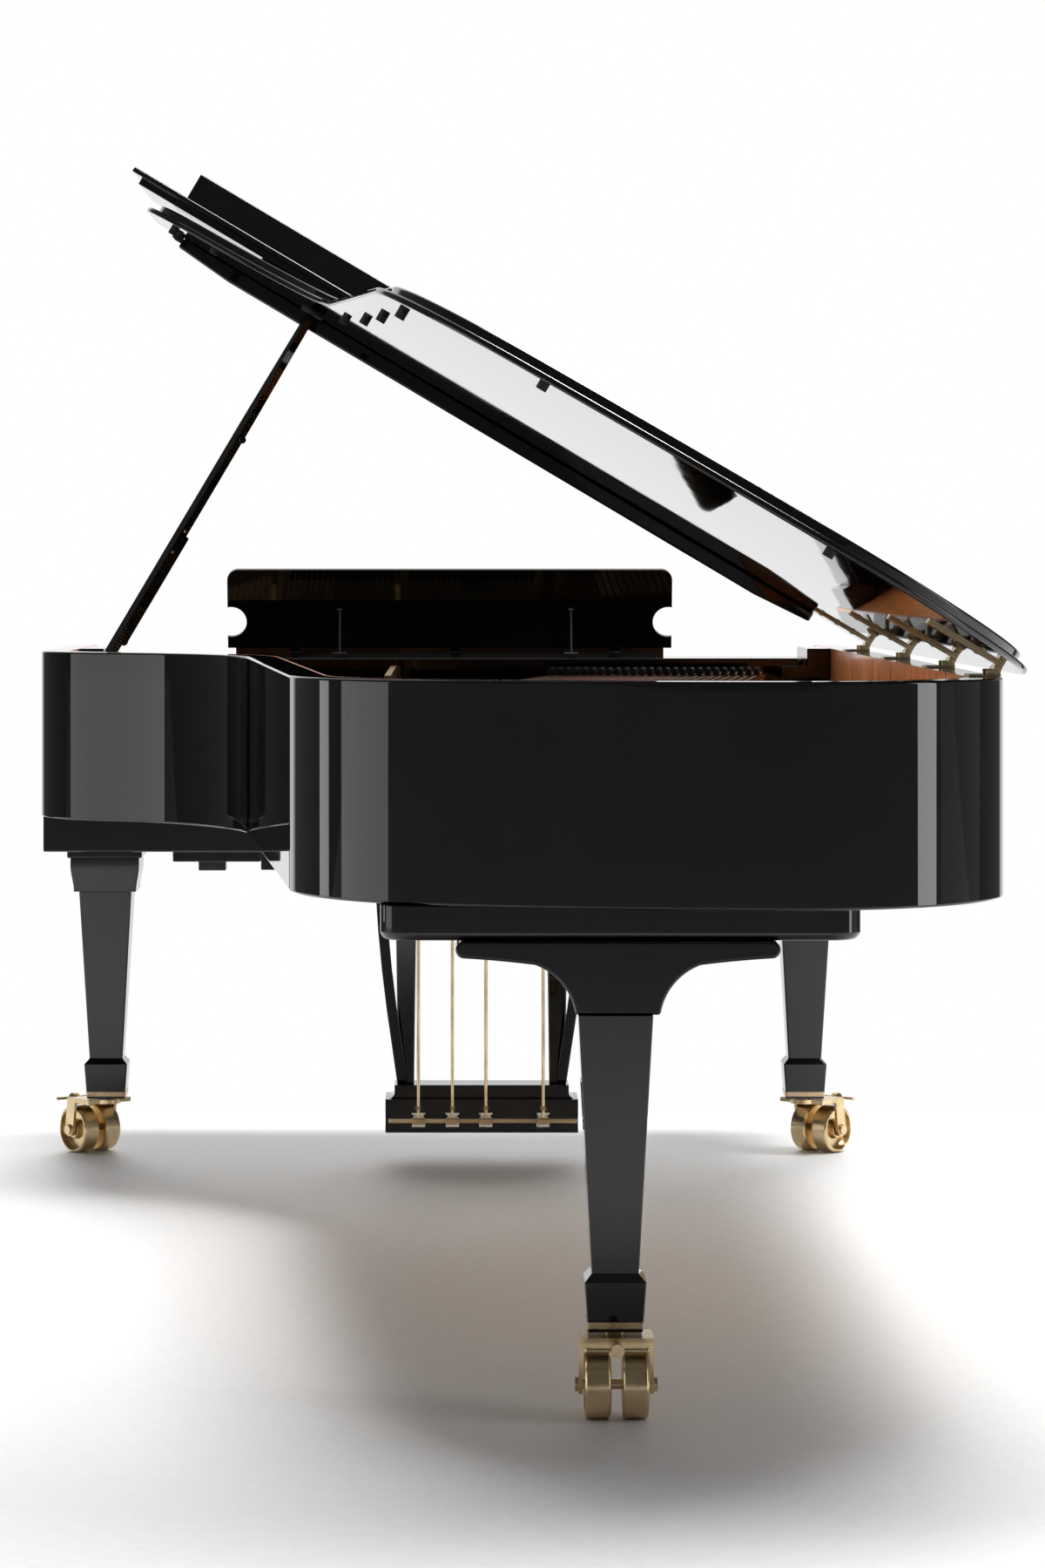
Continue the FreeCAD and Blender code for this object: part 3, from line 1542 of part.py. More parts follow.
def make_band():
    """Metal band let into the foot block."""
    z0 = foot_bottom_z + band_above_foot
    z1 = z0 + band_height
    low = foot_width(z0)
    high = foot_width(z1)
    outer = square_column([(z0, low + 2 * band_proud), (z1, high + 2 * band_proud)])
    inner = square_column([(z0 - 1, low - 2 * band_depth), (z1 + 1, high - 2 * band_depth)])
    return outer.cut(inner)


def stem_bore():
    """Hole in the foot for the caster's stem."""
    top = foot_bottom_z + stem_length + 1
    return rod(V(0, 0, foot_bottom_z - 1), V(0, 0, top), stem_diameter + 2 * pivot_clearance)


def make_front_leg():
    """Front leg: flared cap, tapered shaft and foot block."""
    top = keybed_bottom - leg_plate_thickness
    cap_foot = top - leg_cap_height
    sections = foot_sections()
    sections.append((cap_foot - leg_neck, shaft_top_width))
    sections.append((cap_foot, shaft_top_width))
    for step in range(loft_steps + 1):
        share = step / float(loft_steps)
        flare = (1 - math.cos(math.pi * share)) / 2.0
        width = leg_cap_foot_width + (leg_cap_width - leg_cap_foot_width) * flare
        sections.append((cap_foot + contact_gap + (leg_cap_height - leg_cap_edge) * share, width))
    sections.append((top, leg_cap_width))
    return square_column(sections).cut(stem_bore()).cut(make_band())


def make_tail_leg():
    """Tail leg: tapered shaft up to the tail bracket, and the foot block."""
    top = rim_bottom - tail_base_thickness - bracket_height
    sections = foot_sections() + [(top, shaft_top_width)]
    return square_column(sections).cut(stem_bore()).cut(make_band())


def leg_places():
    """Plan places of the treble, bass and tail legs."""
    return {"treble": V(-leg_x, leg_y, 0), "bass": V(leg_x, leg_y, 0), "tail": V(tail_leg_x, tail_leg_y, 0)}


def placed(shape, place, turn=0.0):
    """Copy of a shape turned about Z and moved to a place."""
    moved = shape.copy()
    moved.rotate(V(0, 0, 0), V(0, 0, 1), turn)
    moved.translate(place)
    return moved


def make_leg_plates():
    """Square plates between the front legs and the keybed."""
    half = leg_plate_width / 2.0
    plate = box(-half, half, -half, half, keybed_bottom - leg_plate_thickness, keybed_bottom)
    plate = plate.makeFillet(leg_plate_round, level_edges(plate, keybed_bottom - leg_plate_thickness))
    places = leg_places()
    return [placed(plate, places["treble"]), placed(plate, places["bass"])]


def make_tail_base():
    """Board below the tail that the tail bracket hangs from."""
    half = tail_base_width / 2.0
    base = box(tail_base_middle - half, tail_base_middle + half, tail_base_front,
               tail_base_front + tail_base_depth, rim_bottom - tail_base_thickness, rim_bottom)
    near = tail_base_front + 1
    upright = [edge for edge in base.Edges if edge.BoundBox.ZLength > 1 and edge.BoundBox.YMax < near]
    base = base.makeFillet(tail_base_corner, upright)
    low = level_edges(base, rim_bottom - tail_base_thickness)
    return base.makeFillet(tail_base_round, low)


def make_tail_bracket():
    """Shaped board above the tail leg: round lobes at the top and an ogee down to the leg."""
    top = rim_bottom - tail_base_thickness
    low = top - bracket_height
    half_top = bracket_width / 2.0
    half_low = bracket_foot_width / 2.0
    lobe = bracket_lobe / 2.0
    knee_x = half_low + bracket_knee_run
    knee_z = top - bracket_knee_drop
    sag_x = (half_top - lobe + knee_x) / 2.0
    sag_z = top - 2 * lobe - (bracket_knee_drop - 2 * lobe) * bracket_sag_share

    def outline_point(x, z, side):
        return V(bracket_middle + side * x, 0, z)

    def half_profile(side):
        """Points from the top edge round the lobe and down the ogee: arcs through three points each."""
        return [
            outline_point(half_top - lobe, top, side),
            outline_point(half_top, top - lobe, side),
            outline_point(half_top - lobe, top - 2 * lobe, side),
            outline_point(sag_x, sag_z, side),
            outline_point(knee_x, knee_z, side),
            outline_point(half_low + bracket_throat_run, top - bracket_throat_drop, side),
            outline_point(half_low, low, side),
        ]

    right = half_profile(1)
    left = half_profile(-1)
    edges = [Part.LineSegment(left[0], right[0]).toShape()]
    for side in (right, left):
        for first in (0, 2, 4):
            edges.append(Part.Arc(side[first], side[first + 1], side[first + 2]).toShape())
    edges.append(Part.LineSegment(right[6], left[6]).toShape())
    face = Part.Face(Part.Wire(Part.__sortEdges__(edges)))
    bracket = face.extrude(V(0, bracket_thickness, 0))
    bracket.translate(V(0, tail_leg_y - bracket_thickness / 2.0, 0))
    return bracket


# Casters, made with the stem on the Z axis and the wheels trailing towards -Y

def make_caster_fork():
    """Yoke: a plate with a round boss and a stem, a wall at its rear, and slanting arms to the axle."""
    axle_z = wheel_diameter / 2.0
    plate_top_z = foot_bottom_z - stem_play
    plate_low = plate_top_z - fork_plate
    half = fork_width / 2.0
    fork = box(-half, half, fork_wall_y, fork_front_y, plate_low, plate_top_z)
    fork = fork.fuse(Part.makeCylinder(fork_boss_radius, fork_plate, V(0, 0, plate_low)))
    fork = fork.fuse(box(-half, half, fork_wall_y, fork_wall_y + fork_wall,
                         plate_low - fork_wall_drop, plate_low))
    fork = fork.fuse(rod(V(0, 0, plate_top_z - 1), V(0, 0, foot_bottom_z + stem_length), stem_diameter))
    arm = [
        (fork_wall_y, plate_low + 1),
        (-caster_trail - arm_width / 2.0, axle_z),
        (-caster_trail + arm_width / 2.0, axle_z),
        (fork_wall_y + arm_width, plate_low + 1),
    ]
    bolt = bolt_width / 2.0
    for side in (-1, 1):
        near = side * (half - cheek_thickness)
        far = side * half
        fork = fork.fuse(profile_along_x(arm, min(near, far), max(near, far)))
        eye = V(near, -caster_trail, axle_z)
        fork = fork.fuse(rod(eye, V(far, -caster_trail, axle_z), arm_width))
        fork = fork.fuse(rod(eye, V(side * bolt, -caster_trail, axle_z), bolt_head_diameter))
    fork = fork.fuse(rod(V(-half, -caster_trail, axle_z), V(half, -caster_trail, axle_z), axle_diameter))
    bore = rod(V(0, fork_wall_y - 1, brake_z), V(0, fork_wall_y + fork_wall + 2, brake_z),
               brake_screw_diameter + 2 * pivot_clearance)
    return fork.cut(bore).removeSplitter()


def make_caster_wheels():
    """Pair of dished wheels on one axle."""
    radius = wheel_diameter / 2.0
    bore = axle_diameter / 2.0 + pivot_clearance
    hub = radius * hub_share
    wheels = []
    for side in (-1, 1):
        x0 = wheel_gap / 2.0
        x1 = x0 + wheel_width
        profile = [
            V(x0, bore, 0),
            V(x0, radius - tyre_round, 0),
            V(x0 + tyre_round, radius, 0),
            V(x1 - tyre_round, radius, 0),
            V(x1, radius - tyre_round, 0),
            V(x1, radius - tyre_wall, 0),
            V(x1 - wheel_dish, radius - tyre_wall - tyre_round, 0),
            V(x1 - wheel_dish, hub + tyre_round, 0),
            V(x1 - 1.0, hub, 0),
            V(x1 - 1.0, bore, 0),
        ]
        face = Part.Face(Part.Wire(polygon([V(side * point.x, point.y, 0) for point in profile])))
        wheel = face.revolve(V(0, 0, 0), V(1, 0, 0), 360)
        wheel.translate(V(0, -caster_trail, radius))
        wheels.append(wheel)
    return wheels


def make_caster_brake():
    """Brake screw with a round head and a tommy bar."""
    head_near = fork_wall_y - brake_reach
    head_far = head_near - brake_head_length
    bar_y = (head_near + head_far) / 2.0
    screw = rod(V(0, fork_wall_y + fork_wall, brake_z), V(0, bar_y, brake_z), brake_screw_diameter)
    head = rod(V(0, head_near, brake_z), V(0, head_far, brake_z), brake_head_diameter)
    half = brake_bar_length / 2.0
    bar = rod(V(-half, bar_y, brake_z), V(half, bar_y, brake_z), brake_bar_diameter)
    ball = brake_bar_diameter * brake_ball_share
    for side in (-1, 1):
        bar = bar.fuse(Part.makeSphere(ball, V(side * half, bar_y, brake_z)))
    return screw.fuse(head).fuse(bar).removeSplitter()


# Lyre and pedals

def make_lyre_box():
    """Pedal box with a stepped top, two feet, the pedals' pivot pin and a slot for each pedal."""
    half = lyre_width / 2.0
    y0 = lyre_y - lyre_depth / 2.0
    y1 = lyre_y + lyre_depth / 2.0
    top = lyre_bottom + lyre_box_height
    body = box(lyre_x - half, lyre_x + half, y0, y1, lyre_bottom, top)
    inset = half - lyre_step_inset
    step = box(lyre_x - inset, lyre_x + inset, y0 + lyre_step_inset, y1 - lyre_step_inset,
               top, top + lyre_step_height)
    body = body.fuse(step).removeSplitter()
    ends = [edge for edge in level_edges(body, top) if abs(abs(edge.CenterOfMass.x - lyre_x) - inset) < 1.0]
    body = body.makeFillet(lyre_step_fillet, ends)
    for x in pedal_x:
        slot = pedal_width / 2.0 + pedal_slot_play
        rise = pedal_slot / 2.0
        body = body.cut(box(x - slot, x + slot, y0 - 1, y1 + 1, pedal_z - rise, pedal_z + rise))
    pin_reach = half - pedal_pin_inset
    body = body.fuse(rod(V(lyre_x - pin_reach, lyre_y, pedal_z), V(lyre_x + pin_reach, lyre_y, pedal_z),
                         pedal_pin_diameter))
    for side in (-1, 1):
        foot = V(lyre_x + side * column_spread, lyre_y, lyre_bottom - lyre_foot_height)
        body = body.fuse(rod(foot, foot + V(0, 0, lyre_foot_height), 2 * lyre_foot_radius))
    return body.removeSplitter()


def make_lyre_posts():
    """Two tapered columns, two bowed outer braces and the block below the keybed."""
    low = lyre_bottom + lyre_box_height + lyre_step_height
    high = keybed_bottom - lyre_block_height
    half_block = column_spread + lyre_block_overrun
    posts = box(lyre_x - half_block, lyre_x + half_block, lyre_y - lyre_block_half_depth,
                lyre_y + lyre_block_half_depth, high, keybed_bottom)
    for side in (-1, 1):
        x = lyre_x + side * column_spread
        sections = [(low, column_foot_width), (high + 1, column_top_width)]
        column = square_column(sections)
        column.translate(V(x, lyre_y, 0))
        posts = posts.fuse(column)
    return [posts.removeSplitter(), lyre_brace(-1), lyre_brace(1)]


def lyre_brace(side):
    """Bowed brace from the pedal box's top back to the keybed, on one side."""
    low = lyre_bottom + lyre_box_height + lyre_step_height
    run = lyre_brace_head_y - lyre_brace_foot_y
    sections = []
    for step in range(loft_steps + 1):
        share = step / float(loft_steps)
        section = square(lyre_brace_width, low + (keybed_bottom - low) * share, leg_corner)
        spread = lyre_brace_foot_x + lyre_brace_bow * math.sin(share * math.pi / 2.0)
        section.translate(V(lyre_x + side * spread, lyre_brace_foot_y + run * share, 0))
        sections.append(section)
    return Part.makeLoft(sections, True, True)


def make_trapwork():
    """Levers below the keybed that the pedal rods push."""
    low = rod_top + trap_gap
    step = low + trap_step
    block = box(trap_left, trap_right, rod_y - trap_rear, rod_y + trap_front, step, keybed_bottom)
    middle = (trap_left + trap_right) / 2.0
    foot = box(middle - 2 * trap_step, middle + trap_step, rod_y - trap_foot_rear, rod_y + trap_foot_front,
               low, step)
    rail = box(trap_right, trap_end, rod_y - trap_lever, rod_y + trap_lever, low, keybed_bottom)
    return block.fuse(foot).fuse(rail).removeSplitter()


def make_pedal(x):
    """Pedal lever with a wide rounded pad in front of the box."""
    half = pedal_width / 2.0
    pad = pedal_pad_width / 2.0
    heel_y = lyre_y - pedal_heel
    tip_y = lyre_y + pedal_reach
    waist_y = lyre_y + lyre_depth / 2.0 + pedal_neck
    edges = [
        Part.LineSegment(V(x - half, heel_y, 0), V(x - half, waist_y, 0)).toShape(),
        Part.LineSegment(V(x - half, waist_y, 0), V(x - pad, tip_y - pad, 0)).toShape(),
        Part.Arc(V(x - pad, tip_y - pad, 0), V(x, tip_y, 0), V(x + pad, tip_y - pad, 0)).toShape(),
        Part.LineSegment(V(x + pad, tip_y - pad, 0), V(x + half, waist_y, 0)).toShape(),
        Part.LineSegment(V(x + half, waist_y, 0), V(x + half, heel_y, 0)).toShape(),
        Part.LineSegment(V(x + half, heel_y, 0), V(x - half, heel_y, 0)).toShape(),
    ]
    thin = pedal_thickness / 2.0
    lever = prism(edges, pedal_z - thin, pedal_z + thin)
    lever = lever.makeFillet(pedal_round, level_edges(lever, pedal_z + thin))
    bore = rod(V(x - pad, lyre_y, pedal_z), V(x + pad, lyre_y, pedal_z),
               pedal_pin_diameter + 2 * pivot_clearance)
    return lever.cut(bore)


def make_pedal_rod(x):
    """Brass rod from a pedal's heel to the trapwork."""
    bottom = pedal_z + pedal_thickness / 2.0 + rod_seat_gap
    return rod(V(x, rod_y, bottom), V(x, rod_y, rod_top), rod_diameter)


def main():
    """Build every node and write its file."""
    os.makedirs("parts", exist_ok=True)
    nodes = {
        "rim": make_rim(),
        "rim_veneer": make_rim_veneer(),
        "inner_rim": make_inner_rim(),
        "case_braces": make_case_braces(),
        "soundboard": make_soundboard(),
        "bridges": make_bridges(),
        "iron_plate": make_iron_plate(),
        "pinblock": make_pinblock(),
        "tuning_pins": make_tuning_pins(),
        "treble_strings": make_treble_strings(),
        "bass_strings": make_bass_strings(),
        "dampers": make_dampers(),
        "keybed": make_keybed(),
        "keyslip": make_keyslip(),
        "white_keys": make_white_keys(),
        "black_keys": make_black_keys(),
        "action_frame": make_action_frame(),
        "hammers": make_hammers(),
        "fallboard": make_fallboard(),
        "stretcher": make_stretcher(),
        "music_shelf": make_music_shelf(),
        "music_desk": make_music_desk(),
        "desk_struts": make_desk_struts(),
        "lid": make_lid(),
        "lid_batten": make_lid_batten(),
        "lid_fittings": make_lid_fittings(),
        "lid_hinge_leaves": make_hinge_leaves() + make_flap_hinges(),
        "lid_hinge_posts": make_hinge_posts(),
        "lid_flap": make_lid_flap(),
        "flap_lip": make_flap_lip(),
        "prop": make_prop(),
        "short_prop": make_short_prop(),
        "prop_bracket": make_prop_bracket(),
        "leg_plates": make_leg_plates(),
        "tail_base": make_tail_base(),
        "tail_bracket": make_tail_bracket(),
        "lyre_box": make_lyre_box(),
        "lyre_posts": make_lyre_posts(),
        "trapwork": make_trapwork(),
    }
    places = leg_places()
    nodes["leg_bands"] = [placed(make_band(), place) for place in places.values()]
    for name, place in places.items():
        leg = make_tail_leg() if name == "tail" else make_front_leg()
        nodes["leg_" + name] = placed(leg, place)
        turn = caster_turns[name]
        nodes["caster_fork_" + name] = placed(make_caster_fork(), place, turn)
        nodes["caster_wheels_" + name] = [placed(wheel, place, turn) for wheel in make_caster_wheels()]
        nodes["caster_brake_" + name] = placed(make_caster_brake(), place, turn)
    for number, x in enumerate(pedal_x, start=1):
        nodes["pedal_" + str(number)] = make_pedal(x)
        nodes["pedal_rod_" + str(number)] = make_pedal_rod(x)
    for name, solids in nodes.items():
        save(name, solids)
    print(len(nodes), "nodes written")


main()
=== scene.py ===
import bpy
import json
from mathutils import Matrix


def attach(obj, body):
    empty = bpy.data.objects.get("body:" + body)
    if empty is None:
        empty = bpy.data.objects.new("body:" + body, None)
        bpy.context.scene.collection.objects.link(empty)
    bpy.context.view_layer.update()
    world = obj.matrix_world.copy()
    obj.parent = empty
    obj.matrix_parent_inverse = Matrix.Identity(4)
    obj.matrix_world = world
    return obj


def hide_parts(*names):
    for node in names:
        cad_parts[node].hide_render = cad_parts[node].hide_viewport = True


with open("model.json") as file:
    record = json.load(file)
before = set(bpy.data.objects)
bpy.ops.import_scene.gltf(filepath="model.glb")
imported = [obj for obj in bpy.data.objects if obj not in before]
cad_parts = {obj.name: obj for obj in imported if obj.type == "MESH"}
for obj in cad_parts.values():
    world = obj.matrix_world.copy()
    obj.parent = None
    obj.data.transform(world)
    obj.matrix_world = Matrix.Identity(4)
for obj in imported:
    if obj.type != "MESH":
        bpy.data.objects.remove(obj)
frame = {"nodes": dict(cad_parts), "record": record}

"""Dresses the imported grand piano: finishes, softened edges, fine fittings, studio and camera.

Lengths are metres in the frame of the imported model: X to the bass side, Y towards the player, Z up.
"""
import json
import logging
import math
from dataclasses import dataclass
from enum import Enum
from typing import Dict, List, Sequence, Tuple

import bmesh
import bpy
import numpy as np

Vec3 = Tuple[float, float, float]
Stops = Sequence[Tuple[float, Vec3]]
Profile = Sequence[Tuple[float, float]]

log = logging.getLogger("piano")


class Finish(Enum):
    """Finishes of the pieces; the value is the material's name."""

    LACQUER = "black_lacquer"
    VENEER = "veneer"
    MAPLE = "maple"
    SPRUCE = "spruce"
    GOLD = "gold_plate"
    STEEL = "steel_wire"
    COPPER = "copper_wire"
    DAMPER = "damper_felt"
    HAMMER = "hammer_felt"
    IVORY = "ivory_plastic"
    EBONY = "ebony"
    BRASS = "brass"
    RUBBER = "black_rubber"
    BRONZE = "bronze_inlay"
    BLACKENED = "blackened_brass"
    RED_FELT = "red_felt"


@dataclass(frozen=True)
class WoodLook:
    """Colours and grain of a wood finish.

    Attributes:
        stops: Colour ramp over the grain.
        grain: Noise frequency along X, Y and Z, per metre.
        turn: Turn of the grain about Z, in degrees.
        roughness: Lowest and highest roughness.
        coat: Weight of the clear coat.
        bump: Height of the grain, in metres.
    """

    stops: Stops
    grain: Vec3
    turn: float = 0.0
    roughness: Tuple[float, float] = (0.25, 0.4)
    coat: float = 0.3
    bump: float = 0.0002


@dataclass(frozen=True)
class MetalLook:
    """Colours and surface of a metal finish.

    Attributes:
        dark: Colour in the tarnished spots.
        light: Colour of the clean metal.
        grain: Noise frequency along X, Y and Z, per metre.
        roughness: Lowest and highest roughness.
        bump: Height of the surface marks, in metres.
    """

    dark: Vec3
    light: Vec3
    grain: Vec3
    roughness: Tuple[float, float]
    bump: float = 0.00005


class Graph:
    """Node tree of one material around its own Principled shader."""

    def __init__(self, name: str) -> None:
        """Start a material.

        Args:
            name: Name of the material.
        """
        self.material = bpy.data.materials.new(name)
        self.material.use_nodes = True
        self.nodes = self.material.node_tree.nodes
        self.links = self.material.node_tree.links
        self.shader = self.nodes["Principled BSDF"]
        self.coords = self.nodes.new("ShaderNodeTexCoord")

    def constant(self, **values: object) -> None:
        """Set constant values on the shader's own sockets.

        Args:
            values: Socket names, with underscores for spaces, and their values.
        """
        for name, value in values.items():
            self.shader.inputs[name.replace("_", " ")].default_value = value

    def drive(self, socket: str, source: bpy.types.NodeSocket) -> None:
        """Link a socket of the shader.

        Args:
            socket: Name of the shader's input.
            source: Output that feeds it.
        """
        self.links.new(source, self.shader.inputs[socket])

    def place(self, scale: Vec3, turn: float = 0.0) -> bpy.types.NodeSocket:
        """Object coordinates, turned about Z and scaled.

        Args:
            scale: Factor along each axis.
            turn: Turn about Z in degrees, before the scaling.

        Returns:
            The vector output.
        """
        source = self.coords.outputs["Object"]
        if turn:
            rotate = self.nodes.new("ShaderNodeVectorRotate")
            rotate.rotation_type = "Z_AXIS"
            rotate.inputs["Angle"].default_value = math.radians(turn)
            self.links.new(source, rotate.inputs["Vector"])
            source = rotate.outputs["Vector"]
        multiply = self.nodes.new("ShaderNodeVectorMath")
        multiply.operation = "MULTIPLY"
        multiply.inputs[1].default_value = scale
        self.links.new(source, multiply.inputs[0])
        return multiply.outputs["Vector"]

    def noise(self, vector: bpy.types.NodeSocket, detail: float = 3.0,
              rough: float = 0.5) -> bpy.types.NodeSocket:
        """Noise over a vector whose scale is already set.

        Args:
            vector: Scaled coordinates.
            detail: Number of octaves.
            rough: Weight of the finer octaves.

        Returns:
            The factor output.
        """
        node = self.nodes.new("ShaderNodeTexNoise")
        node.inputs["Scale"].default_value = 1.0
        node.inputs["Detail"].default_value = detail
        node.inputs["Roughness"].default_value = rough
        self.links.new(vector, node.inputs["Vector"])
        return node.outputs[0]

    def bands(self, vector: bpy.types.NodeSocket, axis: str, distortion: float) -> bpy.types.NodeSocket:
        """Wave bands over a vector whose scale is already set.

        Args:
            vector: Scaled coordinates.
            axis: Direction across the bands, X, Y or Z.
            distortion: How much the bands wander.

        Returns:
            The factor output.
        """
        node = self.nodes.new("ShaderNodeTexWave")
        node.bands_direction = axis
        node.inputs["Scale"].default_value = 1.0
        node.inputs["Distortion"].default_value = distortion
        node.inputs["Detail"].default_value = 2.0
        self.links.new(vector, node.inputs["Vector"])
        return node.outputs[1]

    def ramp(self, factor: bpy.types.NodeSocket, stops: Stops) -> bpy.types.NodeSocket:
        """Colour ramp.

        Args:
            factor: Position on the ramp.
            stops: Positions and colours.

        Returns:
            The colour output.
        """
        node = self.nodes.new("ShaderNodeValToRGB")
        elements = node.color_ramp.elements
        while len(elements) < len(stops):
            elements.new(0.5)
        for element, (position, colour) in zip(elements, stops):
            element.position = position
            element.color = (*colour, 1.0)
        self.links.new(factor, node.inputs["Fac"])
        return node.outputs["Color"]

    def span(self, factor: bpy.types.NodeSocket, low: float, high: float,
             start: float = 0.3, end: float = 0.7) -> bpy.types.NodeSocket:
        """Map a factor to a range of values.

        Args:
            factor: Value to map.
            low: Result at start.
            high: Result at end.
            start: Input that gives low.
            end: Input that gives high.

        Returns:
            The mapped value.
        """
        node = self.nodes.new("ShaderNodeMapRange")
        node.inputs["From Min"].default_value = start
        node.inputs["From Max"].default_value = end
        node.inputs["To Min"].default_value = low
        node.inputs["To Max"].default_value = high
        self.links.new(factor, node.inputs["Value"])
        return node.outputs["Result"]

    def blend(self, factor: bpy.types.NodeSocket, first: bpy.types.NodeSocket,
              second: bpy.types.NodeSocket) -> bpy.types.NodeSocket:
        """Mix two colours.

        Args:
            factor: 0 gives the first colour, 1 the second.
            first: First colour.
            second: Second colour.

        Returns:
            The mixed colour.
        """
        node = self.nodes.new("ShaderNodeMix")
        node.data_type = "RGBA"
        self.links.new(factor, node.inputs["Factor"])
        self.links.new(first, node.inputs[6])
        self.links.new(second, node.inputs[7])
        return node.outputs[2]

    def axis(self, name: str) -> bpy.types.NodeSocket:
        """One Object coordinate.

        Args:
            name: X, Y or Z.

        Returns:
            The coordinate's value, in metres.
        """
        node = self.nodes.new("ShaderNodeSeparateXYZ")
        self.links.new(self.coords.outputs["Object"], node.inputs["Vector"])
        return node.outputs[name]

    def relief(self, height: bpy.types.NodeSocket, depth: float) -> None:
        """Bump the surface.

        Args:
            height: Height between 0 and 1.
            depth: Real height in metres.
        """
        node = self.nodes.new("ShaderNodeBump")
        node.inputs["Strength"].default_value = 1.0
        node.inputs["Distance"].default_value = depth
        self.links.new(height, node.inputs["Height"])
        self.drive("Normal", node.outputs["Normal"])


class MaterialLibrary:
    """All finishes, made once."""

    WOODS: Dict[Finish, WoodLook] = {
        Finish.VENEER: WoodLook(
            ((0.22, (0.17, 0.05, 0.014)), (0.48, (0.45, 0.14, 0.04)), (0.75, (0.65, 0.25, 0.08))),
            (55.0, 55.0, 2.2), 0.0, (0.2, 0.35), 0.35, 0.0001),
        Finish.MAPLE: WoodLook(
            ((0.25, (0.42, 0.25, 0.11)), (0.5, (0.60, 0.41, 0.21)), (0.78, (0.70, 0.52, 0.30))),
            (6.0, 90.0, 90.0)),
        Finish.SPRUCE: WoodLook(
            ((0.2, (0.50, 0.28, 0.10)), (0.5, (0.66, 0.43, 0.19)), (0.8, (0.76, 0.56, 0.29))),
            (240.0, 4.0, 30.0), 35.0, (0.2, 0.3), 0.7, 0.00008),
    }
    METALS: Dict[Finish, MetalLook] = {
        Finish.GOLD: MetalLook(
            (0.42, 0.26, 0.085), (0.66, 0.45, 0.18), (420.0, 420.0, 420.0), (0.34, 0.5), 0.0002),
        Finish.STEEL: MetalLook(
            (0.42, 0.42, 0.44), (0.74, 0.74, 0.76), (600.0, 60.0, 600.0), (0.2, 0.36)),
        Finish.BRASS: MetalLook(
            (0.60, 0.45, 0.25), (0.80, 0.63, 0.38), (60.0, 60.0, 60.0), (0.2, 0.27), 0.00001),
        Finish.BRONZE: MetalLook(
            (0.46, 0.33, 0.20), (0.62, 0.46, 0.29), (80.0, 80.0, 80.0), (0.24, 0.34), 0.00001),
        Finish.BLACKENED: MetalLook(
            (0.02, 0.018, 0.016), (0.05, 0.044, 0.038), (80.0, 80.0, 80.0), (0.3, 0.45), 0.00001),
    }

    def __init__(self) -> None:
        """Make every finish."""
        self.materials: Dict[Finish, bpy.types.Material] = {}
        for finish, look in self.WOODS.items():
            self.materials[finish] = self.wood(finish.value, look)
        for finish, look in self.METALS.items():
            self.materials[finish] = self.metal(finish.value, look)
        self.materials[Finish.LACQUER] = self.lacquer()
        self.materials[Finish.COPPER] = self.wound_copper()
        self.materials[Finish.DAMPER] = self.damper()
        self.materials[Finish.HAMMER] = self.hammer()
        self.materials[Finish.IVORY] = self.ivory()
        self.materials[Finish.EBONY] = self.ebony()
        self.materials[Finish.RUBBER] = self.rubber()
        self.materials[Finish.RED_FELT] = self.red_felt()

    def __getitem__(self, finish: Finish) -> bpy.types.Material:
        """Material of a finish.

        Args:
            finish: The finish.

        Returns:
            Its material.
        """
        return self.materials[finish]

    @staticmethod
    def wood(name: str, look: WoodLook) -> bpy.types.Material:
        """Wood with streaks along its grain and fine pores.

        Args:
            name: Material name.
            look: Colours and grain.

        Returns:
            The material.
        """
        graph = Graph(name)
        streak = graph.noise(graph.place(look.grain, look.turn), 4.0, 0.6)
        pore = graph.noise(graph.place(tuple(4.0 * value for value in look.grain), look.turn), 2.0, 0.5)
        cloud = graph.noise(graph.place((2.5, 2.5, 2.5), look.turn), 2.0, 0.5)
        plain = graph.ramp(streak, look.stops)
        shade = graph.ramp(cloud, look.stops)
        mottled = graph.blend(graph.span(pore, 0.1, 0.4), plain, shade)
        graph.drive("Base Color", mottled)
        graph.drive("Roughness", graph.span(pore, *look.roughness))
        graph.relief(pore, look.bump)
        graph.constant(Coat_Weight=look.coat, Coat_Roughness=0.06)
        return graph.material

    @staticmethod
    def metal(name: str, look: MetalLook) -> bpy.types.Material:
        """Satin metal with faint marks and uneven tarnish.

        Args:
            name: Material name.
            look: Colours and surface.

        Returns:
            The material.
        """
        graph = Graph(name)
        marks = graph.noise(graph.place(look.grain), 3.0, 0.6)
        tarnish = graph.noise(graph.place((22.0, 22.0, 22.0)), 3.0, 0.5)
        graph.drive("Base Color", graph.ramp(tarnish, ((0.3, look.dark), (0.62, look.light))))
        graph.drive("Roughness", graph.span(marks, *look.roughness))
        graph.relief(marks, look.bump)
        graph.constant(Metallic=1.0)
        return graph.material

    @staticmethod
    def lacquer() -> bpy.types.Material:
        """Polished black polyester with a faint haze and the slow waver of a rubbed surface.

        Returns:
            The material.
        """
        graph = Graph(Finish.LACQUER.value)
        haze = graph.noise(graph.place((9.0, 9.0, 9.0)), 4.0, 0.6)
        waver = graph.noise(graph.place((3.0, 3.0, 3.0)), 1.0, 0.4)
        black = graph.ramp(haze, ((0.3, (0.0016, 0.0015, 0.0015)), (0.8, (0.0042, 0.004, 0.0039))))
        graph.drive("Base Color", black)
        graph.drive("Roughness", graph.span(haze, 0.01, 0.03))
        graph.relief(waver, 0.0002)
        graph.constant(IOR=1.55)
        return graph.material

